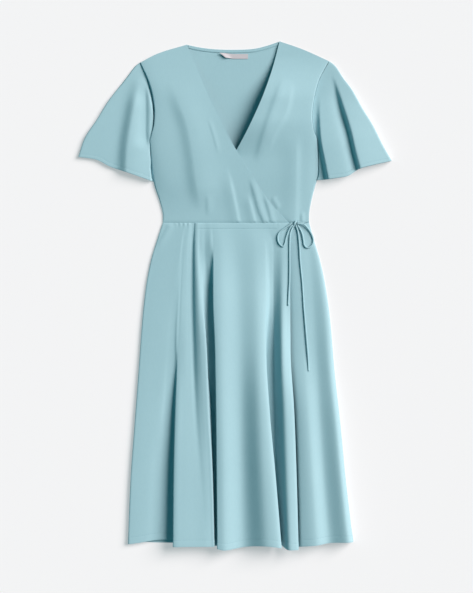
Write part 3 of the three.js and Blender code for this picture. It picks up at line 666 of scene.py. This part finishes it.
def under_height(x, y):
    hidden = smooth_step(10, -10, x - edge_x(OVER_NECK, y))
    folds = creases(x, y, UNDER_CREASES)
    lift = NECK_LIFT["height"] * bell(x - edge_x(UNDER_NECK, y), NECK_LIFT["width"])
    lift = lift * smooth_step(NECK_LIFT["starts"], NECK_LIFT["full_from"], y)
    lift = lift * smooth_step(NECK_LIFT["ends"], NECK_LIFT["full_to"], y)
    return to_waist(FRONT_Z + chest_rise(x, y) + (folds + lift) * (1 - hidden), y)


def thin_edge(grid, column):
    """Thickness of a front that is thin along its neck edge, and raised there so that its face stays flat."""
    off = np.linalg.norm(grid[..., :2] - grid[:, column, None, :2], axis=2)
    thinner = 0.8 * smooth_step(2.4, 0, off)
    grid[..., 2] += thinner / 2
    return WALL - thinner


def roll_down(grid, column):
    """The side of a front rolls down onto the back at the side seam and the armhole."""
    off = np.linalg.norm(grid[..., :2] - grid[:, column, None, :2], axis=2)
    grid[..., 2] -= (grid[..., 2] - FRONT_Z) * smooth_step(1.8, 0, off)


def bodice_grid(bottom, top, first, last, columns, height):
    t = np.concatenate([np.linspace(0, 0.06, 8)[:-1], np.linspace(0.06, 1, 90)])
    s = np.concatenate([[0, 0.003, 0.007], np.linspace(0.013, 0.987, columns), [0.993, 0.997, 1]])
    flat = patch(bottom, top, first, last, s, t)
    x, y = flat[..., 0], flat[..., 1]
    return np.concatenate([flat, height(x, y)[..., None]], axis=-1)


def make_bodice():
    right = joined([(RIGHT_SIDE, 0.5), (RIGHT_ARMHOLE, 1)])
    left = joined([(LEFT_SIDE, 0.5), (LEFT_ARMHOLE, 1)])
    back_top = joined([(RIGHT_SHOULDER, 0.25), (BACK_NECK, 0.75), (LEFT_SHOULDER[::-1], 1)])
    over = bodice_grid(straight(RIGHT_SIDE[0], OVER_NECK[0]), by_length(RIGHT_SHOULDER), right,
                       by_length(OVER_NECK), BODICE_COLUMNS["right"], over_height)
    under = bodice_grid(straight(UNDER_NECK[0], LEFT_SIDE[0]), by_length(LEFT_SHOULDER[::-1]),
                        by_length(UNDER_NECK), left, BODICE_COLUMNS["left"], under_height)
    back = bodice_grid(straight(RIGHT_SIDE[0], LEFT_SIDE[0]), back_top, right, left,
                       BODICE_COLUMNS["back"], lambda x, y: np.full(x.shape, BACK_Z))
    roll_down(over, 0)
    roll_down(under, -1)
    over_wall, under_wall = thin_edge(over, -1), thin_edge(under, 0)
    return {
        "right": cloth_piece("bodice_front_right_cloth", over, over_wall),
        "left": cloth_piece("bodice_front_left_cloth", under, under_wall),
        "back": cloth_piece("bodice_back_cloth", back),
    }


def make_neck_binding():
    neck = by_length(BACK_NECK)
    t = np.linspace(BINDING["ends"], 1 - BINDING["ends"], 90)
    p = neck(t)
    along = neck(np.minimum(1, t + 0.01)) - neck(np.maximum(0, t - 0.01))
    along /= np.linalg.norm(along, axis=1, keepdims=True)
    side = np.stack([along[:, 1], -along[:, 0]], axis=-1)
    share = np.linspace(0, 1, 9)
    inset = BINDING["inset"] + BINDING["width"] * share
    xy = p[None] + side[None] * inset[:, None, None]
    crown = BINDING["crown"] * np.sin(math.pi * share) ** 0.5
    z = BACK_Z + WALL / 2 + BINDING["above_back"] + np.repeat(crown[:, None], len(t), axis=1)
    grid = np.concatenate([xy, z[..., None]], axis=-1)
    return cloth_piece("neck_binding_cloth", grid, BINDING["thickness"]), grid


def make_label():
    s = np.linspace(0, 1, 24)
    t = np.linspace(0, 1, 8)
    skew = LABEL["skew"] * smooth_step(0.45, 0, s)[None] * t[:, None]
    x = LABEL["x"] + LABEL["width"] * s[None] - skew
    y = LABEL["y"] + LABEL["depth"] * t[:, None] + LABEL["rise"] * smooth_step(0.4, 0, s)[None]
    lifted = LABEL["lift"] * smooth_step(0.3, 0, s)[None]
    wave = LABEL["wave"] * np.sin(math.pi * s)[None] * (1 - t[:, None])
    z = BACK_Z + WALL / 2 + LABEL["above_back"] + lifted + wave
    grid = np.stack([x, y, z], axis=-1)
    return cloth_piece("neck_label_cloth", grid, LABEL["thickness"]), grid


# Sleeves

def sleeve_rise(sleeve, flat, s, t, inner_column):
    """How high the front of a sleeve stands over its back; s runs across from the outer edge and t down
    to the hem. Beside the body the front lies low on a ledge, so that a dark gap shows there."""
    lift = sleeve["armhole_lift"] + (SLEEVE_HEM_LIFT - sleeve["armhole_lift"]) * np.sin(t * math.pi / 2)
    edges = smooth_step(0, SLEEVE_EDGE, s) * smooth_step(1, 1 - SLEEVE_EDGE, s)
    to_inner = np.linalg.norm(flat - flat[:, inner_column, None], axis=2)
    ledge = sleeve["ledge"] * smooth_step(0.45, 0.75, t)
    edges = edges * smooth_step(ledge - 0.1, ledge + 1.5, to_inner)
    folds = creases(flat[..., 0], flat[..., 1], sleeve["creases"]) * smooth_step(0, 0.04, t)
    return LAYER + edges * (lift + folds)


def make_sleeve(side):
    """A flattened tube, with its grid and the columns of its front that the hem stitches cross."""
    sleeve = SLEEVES[side]
    shift = np.array([sleeve["outward"] * SLEEVE_GAP, 0])
    armhole = by_length(sleeve["armhole"])
    top = tuple(np.asarray(sleeve["armhole"][0]) + shift)
    under = tuple(np.asarray(sleeve["armhole"][-1]) + shift)
    outer = by_length([top, *sleeve["outer"]])
    inner = by_length([under, *sleeve["inner"]])
    t = np.concatenate([np.linspace(0, 0.9, 56)[:-1], np.linspace(0.9, 1, 16)])
    inside = np.concatenate([np.linspace(0.014, 0.93, 66), np.linspace(0.938, 0.992, 9)])
    front = np.concatenate([[0.003, 0.007], inside, [0.997]])
    back = np.linspace(0.99, 0.01, 34)
    all_round = np.concatenate([[0], front, [1], back])
    across, place = np.unique(all_round, return_inverse=True)
    flat = patch(lambda s: armhole(s) + shift, by_length(sleeve["hem"]), outer, inner, across, t)[:, place]
    edge_columns = [0, len(front) + 1]
    front_columns = slice(1, len(front) + 1)
    rise = sleeve_rise(sleeve, flat, all_round[None], t[:, None], edge_columns[1])
    z = np.full(flat.shape[:2], BACK_Z)
    z[:, edge_columns] += LAYER / 2
    z[:, front_columns] += rise[:, front_columns]
    grid = np.concatenate([flat, z[..., None]], axis=-1)
    wall = np.full(z.shape, WALL)
    wall[:, front_columns] = hem_wall(from_seam(grid)[1], SLEEVE_HEM_DEPTH)[:, front_columns]
    piece = cloth_piece(f"sleeve_{side}_cloth", grid, wall, round_across=True)
    return piece, grid, slice(2, len(front))


# Tie and bow

def strip_tube(name, route, width=TIE_WIDTH, depth=TIE_DEPTH, sides=TIE_SIDES):
    """A turned strip of cloth: a closed tube, wider than deep, along a smooth route."""
    path = curve_through(route, 8)
    way = np.gradient(path, axis=0)
    way /= np.linalg.norm(way, axis=1, keepdims=True)
    up = np.array([0.0, 0.0, 1.0])
    across = np.cross(way, up)
    across /= np.linalg.norm(across, axis=1, keepdims=True)
    raised = np.cross(across, way)
    angle = np.linspace(0, 2 * math.pi, sides, endpoint=False)
    ring = (path[:, None] + across[:, None] * (np.cos(angle) * width / 2)[None, :, None]
            + raised[:, None] * (np.sin(angle) * depth / 2)[None, :, None])
    count = len(path)
    points = np.concatenate([ring.reshape(-1, 3), path[:1], path[-1:]]) * MM
    number = np.arange(count * sides).reshape(count, sides)
    number = np.concatenate([number, number[:, :1]], axis=1)
    quads = np.stack([number[:-1, :-1], number[:-1, 1:], number[1:, 1:], number[1:, :-1]], axis=-1)
    faces = quads.reshape(-1, 4).tolist()
    faces += [[number[0, k + 1], number[0, k], count * sides] for k in range(sides)]
    faces += [[number[-1, k], number[-1, k + 1], count * sides + 1] for k in range(sides)]
    mesh = bpy.data.meshes.new(name)
    mesh.from_pydata(points.tolist(), [], [[int(i) for i in f] for f in faces])
    mesh.shade_smooth()
    mesh.update()
    piece = add_object(name, mesh)
    turn_outwards(piece)
    return piece, path * MM


def knot_route():
    """The strip goes round the crossing one and a half times."""
    turn = np.linspace(0, 2 * math.pi * KNOT["turns"], 40)
    x = KNOT["x"] + KNOT["half_width"] * np.cos(turn) + KNOT["step"] * (turn / math.pi - KNOT["turns"])
    y = KNOT["y"] + KNOT["half_length"] * np.cos(turn + KNOT["lean"])
    z = KNOT["z"] + KNOT["half_height"] * np.sin(turn)
    return np.stack([x, y, z], axis=-1)


def make_tie(material):
    """The runs of the tie and the knot, each a strip of cloth."""
    for node, route in TIE_ROUTES.items():
        piece, path = strip_tube(f"{node}_strip", route)
        finish_piece(piece, material, "tie_cloth", node)
    knot, _ = strip_tube("bow_knot_wrap", knot_route())
    finish_piece(knot, material, "tie_cloth", "bow_knot")


# Node trees

def add_math(tree, operation, *values):
    """A sum worked out in a node tree; each value is a number or the output of another node."""
    node = tree.nodes.new("ShaderNodeMath")
    node.operation = operation
    for place, value in enumerate(values):
        if isinstance(value, (int, float)):
            node.inputs[place].default_value = value
        else:
            tree.links.new(value, node.inputs[place])
    return node.outputs[0]


def socket_named(tree, name):
    return next(item.identifier for item in tree.interface.items_tree if item.name == name)


# Stitches

def row_on(grid, run, at, lift, columns=slice(None), round_across=False):
    """Points along a row that lies so far down the cloth, lifted off its middle."""
    normal = surface_normals(grid, round_across)[:, columns]
    normal *= 1 if np.mean(normal[..., 2]) > 0 else -1
    raised = grid[:, columns] + normal * lift
    run = run[:, columns]
    points = []
    for k in range(raised.shape[1]):
        order = np.argsort(run[:, k])
        points.append([np.interp(at, run[order, k], raised[order, k, axis]) for axis in range(3)])
    return np.array(points)


def hem_row(grid, depth, columns=slice(None), round_across=False):
    return row_on(grid, from_seam(grid)[1], depth, THREAD_LIFT["hem"], columns, round_across)


def waist_row(grid):
    row = row_on(grid, from_seam(grid)[0], WAIST_ROW["depth"], THREAD_LIFT["waist"])
    return row[(row[:, 0] > WAIST_ROW["from"]) & (row[:, 0] < WAIST_ROW["to"])]


def stitch_tree():
    """Short threads along every row, one after another, each a little uneven."""
    tree = bpy.data.node_groups.new("stitch_rows", "GeometryNodeTree")
    sockets = [
        ("Rows", "NodeSocketGeometry", None),
        ("Pitch", "NodeSocketFloat", DRESS_STITCH["pitch"] * MM),
        ("Stitch length", "NodeSocketFloat", DRESS_STITCH["length"] * MM),
        ("Thread radius", "NodeSocketFloat", THREAD_RADIUS * MM),
        ("Unevenness", "NodeSocketFloat", 0.12),
        ("Seed", "NodeSocketInt", 7),
        ("Thread", "NodeSocketMaterial", None),
    ]
    for label, kind, value in sockets:
        socket = tree.interface.new_socket(name=label, in_out="INPUT", socket_type=kind)
        if value is not None:
            socket.default_value = value
    tree.interface.new_socket(name="Stitches", in_out="OUTPUT", socket_type="NodeSocketGeometry")
    nodes, link = tree.nodes, tree.links.new
    enter, leave = nodes.new("NodeGroupInput"), nodes.new("NodeGroupOutput")
    curve = nodes.new("GeometryNodeMeshToCurve")
    link(enter.outputs["Rows"], curve.inputs["Mesh"])
    spaced = nodes.new("GeometryNodeResampleCurve")
    spaced.mode = "LENGTH"
    link(curve.outputs["Curve"], spaced.inputs["Curve"])
    link(enter.outputs["Pitch"], spaced.inputs["Length"])
    thread = nodes.new("GeometryNodeMeshCylinder")
    thread.inputs["Vertices"].default_value = 6
    link(enter.outputs["Thread radius"], thread.inputs["Radius"])
    link(enter.outputs["Stitch length"], thread.inputs["Depth"])
    shortest = add_math(tree, "SUBTRACT", 1.0, enter.outputs["Unevenness"])
    uneven = nodes.new("FunctionNodeRandomValue")
    uneven.data_type = "FLOAT"
    link(shortest, uneven.inputs[2])
    uneven.inputs[3].default_value = 1.0
    link(enter.outputs["Seed"], uneven.inputs["Seed"])
    tangent = nodes.new("GeometryNodeInputTangent")
    turn = nodes.new("FunctionNodeAlignRotationToVector")
    turn.axis = "Z"
    link(tangent.outputs["Tangent"], turn.inputs["Vector"])
    size = nodes.new("ShaderNodeCombineXYZ")
    size.inputs["X"].default_value = 1.0
    size.inputs["Y"].default_value = 1.0
    link(uneven.outputs[1], size.inputs["Z"])
    placed = nodes.new("GeometryNodeInstanceOnPoints")
    link(spaced.outputs["Curve"], placed.inputs["Points"])
    link(thread.outputs["Mesh"], placed.inputs["Instance"])
    link(turn.outputs["Rotation"], placed.inputs["Rotation"])
    link(size.outputs["Vector"], placed.inputs["Scale"])
    real = nodes.new("GeometryNodeRealizeInstances")
    link(placed.outputs["Instances"], real.inputs["Geometry"])
    dyed = nodes.new("GeometryNodeSetMaterial")
    link(real.outputs["Geometry"], dyed.inputs["Geometry"])
    link(enter.outputs["Thread"], dyed.inputs["Material"])
    link(dyed.outputs["Geometry"], leave.inputs["Stitches"])
    return tree


def stitch_piece(name, rows, tree, thread, stitch):
    """A plain mesh of stitches along rows of points given in millimetres."""
    points = np.concatenate(rows) * MM
    edges = []
    start = 0
    for row in rows:
        edges += [(start + k, start + k + 1) for k in range(len(row) - 1)]
        start += len(row)
    lines = bpy.data.meshes.new(f"{name}_rows")
    lines.from_pydata(points.tolist(), edges, [])
    guide = add_object(f"{name}_guide", lines)
    sewing = guide.modifiers.new("sewing", "NODES")
    sewing.node_group = tree
    sewing[socket_named(tree, "Pitch")] = stitch["pitch"] * MM
    sewing[socket_named(tree, "Stitch length")] = stitch["length"] * MM
    sewing[socket_named(tree, "Thread")] = thread
    bpy.context.view_layer.update()
    made = bpy.data.meshes.new_from_object(guide.evaluated_get(bpy.context.evaluated_depsgraph_get()))
    guide.modifiers.remove(sewing)
    bpy.data.objects.remove(guide)
    made.name = name
    return add_object(name, made)


# Finishes

def node_group(name, inputs, outputs):
    group = bpy.data.node_groups.new(name, "ShaderNodeTree")
    for label, kind, value in inputs:
        socket = group.interface.new_socket(name=label, in_out="INPUT", socket_type=kind)
        if value is not None:
            socket.default_value = value
    for label, kind in outputs:
        group.interface.new_socket(name=label, in_out="OUTPUT", socket_type=kind)
    return group, group.nodes.new("NodeGroupInput"), group.nodes.new("NodeGroupOutput")


def crepe_grain():
    """Fine pebbled grain of crepe jersey with its faint lengthwise wales, as a height and a mask."""
    group, enter, leave = node_group(
        "crepe_grain",
        [("Vector", "NodeSocketVector", None), ("Pebble size", "NodeSocketFloat", 0.0006),
         ("Wale spacing", "NodeSocketFloat", 0.0009), ("Wale share", "NodeSocketFloat", 0.35)],
        [("Height", "NodeSocketFloat"), ("Mask", "NodeSocketFloat")])
    link = group.links.new
    pebble = group.nodes.new("ShaderNodeTexNoise")
    pebble.noise_dimensions = "2D"
    pebble.inputs["Detail"].default_value = 3.0
    pebble.inputs["Roughness"].default_value = 0.6
    link(enter.outputs["Vector"], pebble.inputs["Vector"])
    link(add_math(group, "DIVIDE", 1.0, enter.outputs["Pebble size"]), pebble.inputs["Scale"])
    split = group.nodes.new("ShaderNodeSeparateXYZ")
    link(enter.outputs["Vector"], split.inputs[0])
    wales_across = add_math(group, "DIVIDE", split.outputs["X"], enter.outputs["Wale spacing"])
    wave = add_math(group, "SINE", add_math(group, "MULTIPLY", wales_across, 2 * math.pi))
    wales = add_math(group, "MULTIPLY", wave, enter.outputs["Wale share"])
    height = add_math(group, "MULTIPLY_ADD", wales, 0.5, pebble.outputs["Fac"])
    link(height, leave.inputs["Height"])
    link(pebble.outputs["Fac"], leave.inputs["Mask"])
    return group


def uneven_dye():
    """Slow changes of tone over the cloth and a fine fleck, from two noises."""
    group, enter, leave = node_group(
        "uneven_dye",
        [("Vector", "NodeSocketVector", None), ("Colour", "NodeSocketColor", (1, 1, 1, 1)),
         ("Deeper colour", "NodeSocketColor", (1, 1, 1, 1)), ("Patch scale", "NodeSocketFloat", 9.0),
         ("Fleck scale", "NodeSocketFloat", 420.0), ("Fleck share", "NodeSocketFloat", 0.5)],
        [("Colour", "NodeSocketColor")])
    link = group.links.new
    patches = group.nodes.new("ShaderNodeTexNoise")
    patches.inputs["Detail"].default_value = 2.0
    link(enter.outputs["Vector"], patches.inputs["Vector"])
    link(enter.outputs["Patch scale"], patches.inputs["Scale"])
    fleck = group.nodes.new("ShaderNodeTexNoise")
    fleck.inputs["Detail"].default_value = 1.0
    drawn_out = group.nodes.new("ShaderNodeVectorMath")
    drawn_out.operation = "MULTIPLY"
    drawn_out.inputs[1].default_value = (1, 0.3, 1)
    link(enter.outputs["Vector"], drawn_out.inputs[0])
    link(drawn_out.outputs["Vector"], fleck.inputs["Vector"])
    link(enter.outputs["Fleck scale"], fleck.inputs["Scale"])
    both = group.nodes.new("ShaderNodeMix")
    both.data_type = "FLOAT"
    link(enter.outputs["Fleck share"], both.inputs["Factor"])
    link(patches.outputs["Fac"], both.inputs[2])
    link(fleck.outputs["Fac"], both.inputs[3])
    tone = group.nodes.new("ShaderNodeMix")
    tone.data_type = "RGBA"
    link(both.outputs[0], tone.inputs["Factor"])
    link(enter.outputs["Colour"], tone.inputs[6])
    link(enter.outputs["Deeper colour"], tone.inputs[7])
    link(tone.outputs[2], leave.inputs["Colour"])
    return group


def rgba(colour):
    return (*colour, 1.0)


def new_material(name):
    material = bpy.data.materials.new(name)
    material.use_nodes = True
    return material, material.node_tree.nodes["Principled BSDF"]


def cloth_material(name, colour, deeper, grain_and_dye, roughness=0.62, sheen=0.04, grain=0.00018,
                   pebble=0.0006, wale=0.0009, vector="UV"):
    """Dyed cloth. The dye follows the whole dress; the grain follows the cloth or, on the tie, the dress."""
    grain_group, dye_group = grain_and_dye
    material, shader = new_material(name)
    nodes, link = material.node_tree.nodes, material.node_tree.links.new
    shader.inputs["Sheen Weight"].default_value = sheen
    shader.inputs["Sheen Roughness"].default_value = 0.45
    shader.inputs["Specular IOR Level"].default_value = 0.2
    place = nodes.new("ShaderNodeTexCoord")
    dye = nodes.new("ShaderNodeGroup")
    dye.node_tree = dye_group
    dye.inputs["Colour"].default_value = rgba(colour)
    dye.inputs["Deeper colour"].default_value = rgba(deeper)
    link(place.outputs["Object"], dye.inputs["Vector"])
    link(dye.outputs["Colour"], shader.inputs["Base Color"])
    weave = nodes.new("ShaderNodeGroup")
    weave.node_tree = grain_group
    weave.inputs["Pebble size"].default_value = pebble
    weave.inputs["Wale spacing"].default_value = wale
    link(place.outputs[vector], weave.inputs["Vector"])
    bump = nodes.new("ShaderNodeBump")
    bump.inputs["Strength"].default_value = 0.5
    bump.inputs["Distance"].default_value = grain
    link(weave.outputs["Height"], bump.inputs["Height"])
    link(bump.outputs["Normal"], shader.inputs["Normal"])
    rough = nodes.new("ShaderNodeMapRange")
    rough.inputs["To Min"].default_value = roughness - 0.06
    rough.inputs["To Max"].default_value = roughness + 0.08
    link(weave.outputs["Mask"], rough.inputs["Value"])
    link(rough.outputs["Result"], shader.inputs["Roughness"])
    return material


def thread_material(name, colour):
    material, shader = new_material(name)
    shader.inputs["Base Color"].default_value = rgba(colour)
    shader.inputs["Roughness"].default_value = 0.55
    return material


# Stage, light and camera

def make_floor():
    mesh = bpy.data.meshes.new("floor")
    corners = [(x * FLOOR_HALF, y * FLOOR_HALF, 0) for x, y in ((-1, -1), (1, -1), (1, 1), (-1, 1))]
    mesh.from_pydata(corners, [], [(0, 1, 2, 3)])
    floor = add_object("floor", mesh)
    material, shader = new_material("pale_floor")
    shader.inputs["Base Color"].default_value = rgba(FLOOR_PALE)
    shader.inputs["Emission Color"].default_value = rgba((1, 1, 1))
    shader.inputs["Emission Strength"].default_value = FLOOR_GLOW
    shader.inputs["Roughness"].default_value = 0.9
    shader.inputs["Specular IOR Level"].default_value = 0.1
    mesh.materials.append(material)


def add_sun(name, azimuth, elevation, strength, softness, colour):
    data = bpy.data.lights.new(name, "SUN")
    data.energy = strength
    data.color = colour
    data.angle = math.radians(softness)
    sun = add_object(name, data)
    a, e = math.radians(azimuth), math.radians(elevation)
    way = Vector((math.cos(a) * math.cos(e), math.sin(a) * math.cos(e), math.sin(e)))
    sun.rotation_euler = way.to_track_quat("Z", "Y").to_euler()


def make_light():
    world = bpy.data.worlds.new("studio")
    world.use_nodes = True
    background = world.node_tree.nodes["Background"]
    background.inputs["Color"].default_value = rgba(STUDIO_COLOUR)
    background.inputs["Strength"].default_value = STUDIO_STRENGTH
    bpy.context.scene.world = world
    add_sun("key_light", **KEY_LIGHT)
    add_sun("fill_light", **FILL_LIGHT)
    settings = bpy.context.scene.view_settings
    settings.view_transform = "Standard"
    settings.look = "None"
    settings.exposure = 0.0
    settings.gamma = 1.0


def make_camera():
    data = bpy.data.cameras.new("camera")
    camera = add_object("camera", data)
    x = (PHOTO_WIDTH / 2 - PHOTO_ORIGIN[0]) * PHOTO_SCALE * MM
    y = (PHOTO_ORIGIN[1] - PHOTO_HEIGHT / 2) * PHOTO_SCALE * MM
    camera.location = (x, y, CAMERA_HEIGHT)
    data.sensor_width = SENSOR
    data.lens = SENSOR * CAMERA_HEIGHT / (PHOTO_HEIGHT * PHOTO_SCALE * MM)
    data.clip_end = 50
    bpy.context.scene.camera = camera


# Making

make_camera()
make_light()
make_floor()

grain_and_dye = (crepe_grain(), uneven_dye())
dress_cloth = cloth_material("teal_crepe", TEAL, TEAL_DEEP, grain_and_dye)
tie_cloth = cloth_material("tie_crepe", TEAL, TEAL_DEEP, grain_and_dye, vector="Object")
label_cloth = cloth_material("label_satin", LABEL_PINK, LABEL_PINK_DEEP, grain_and_dye,
                             roughness=0.5, sheen=0.1, grain=0.00008, pebble=0.0003, wale=0.0005)
make_tie(tie_cloth)

skirt_right, skirt_right_grid = make_skirt_front("right", OVER_PANEL_LINES, OVER_PANEL_STEPS)
skirt_left, skirt_left_grid = make_skirt_front("left", UNDER_PANEL_LINES, UNDER_PANEL_STEPS)
skirt_back = make_skirt_back()
bodice = make_bodice()
sleeve_right, sleeve_right_grid, sewn_right = make_sleeve("right")
sleeve_left, sleeve_left_grid, sewn_left = make_sleeve("left")
binding, binding_grid = make_neck_binding()
label, label_grid = make_label()

dress_pieces = {
    "skirt_front_right": skirt_right,
    "skirt_front_left": skirt_left,
    "skirt_back": skirt_back,
    "bodice_front_right": bodice["right"],
    "bodice_front_left": bodice["left"],
    "bodice_back": bodice["back"],
    "sleeve_right": sleeve_right,
    "sleeve_left": sleeve_left,
    "neck_binding_back": binding,
}
for node, piece in dress_pieces.items():
    finish_piece(piece, dress_cloth, "dress_cloth", node)
finish_piece(label, label_cloth, "label_cloth", "neck_label")

# Rows of stitches; those of the under panel start where it comes out from under the wrap edge.
under_panel_shown = UNDER_PANEL_STEPS * [line[0] for line in UNDER_PANEL_LINES].index("below the wrap edge")
sewn = {
    "skirt_right": [hem_row(skirt_right_grid, HEM_DEPTH), waist_row(skirt_right_grid)],
    "skirt_left": [hem_row(skirt_left_grid, HEM_DEPTH, slice(under_panel_shown, None))],
    "sleeve_right": [hem_row(sleeve_right_grid, SLEEVE_HEM_DEPTH, sewn_right, True)],
    "sleeve_left": [hem_row(sleeve_left_grid, SLEEVE_HEM_DEPTH, sewn_left, True)],
    "neck_binding": [binding_grid[k] + np.array([0, 0, THREAD_LIFT["binding"]]) for k in (1, 7)],
    "neck_label": [label_grid[:, k] + np.array([0, 0, THREAD_LIFT["label"]]) for k in (1, 22)],
}
teal_thread = thread_material("teal_thread", TEAL_THREAD)
label_thread = thread_material("label_thread", LABEL_PINK)
sewing = stitch_tree()
stitches = {}
for name, rows in sewn.items():
    on_label = name == "neck_label"
    thread = label_thread if on_label else teal_thread
    stitch = LABEL_STITCH if on_label else DRESS_STITCH
    stitches[name] = stitch_piece(f"{name}_stitches", rows, sewing, thread, stitch)
    finish_piece(stitches[name], thread, "label_cloth" if on_label else "dress_cloth")
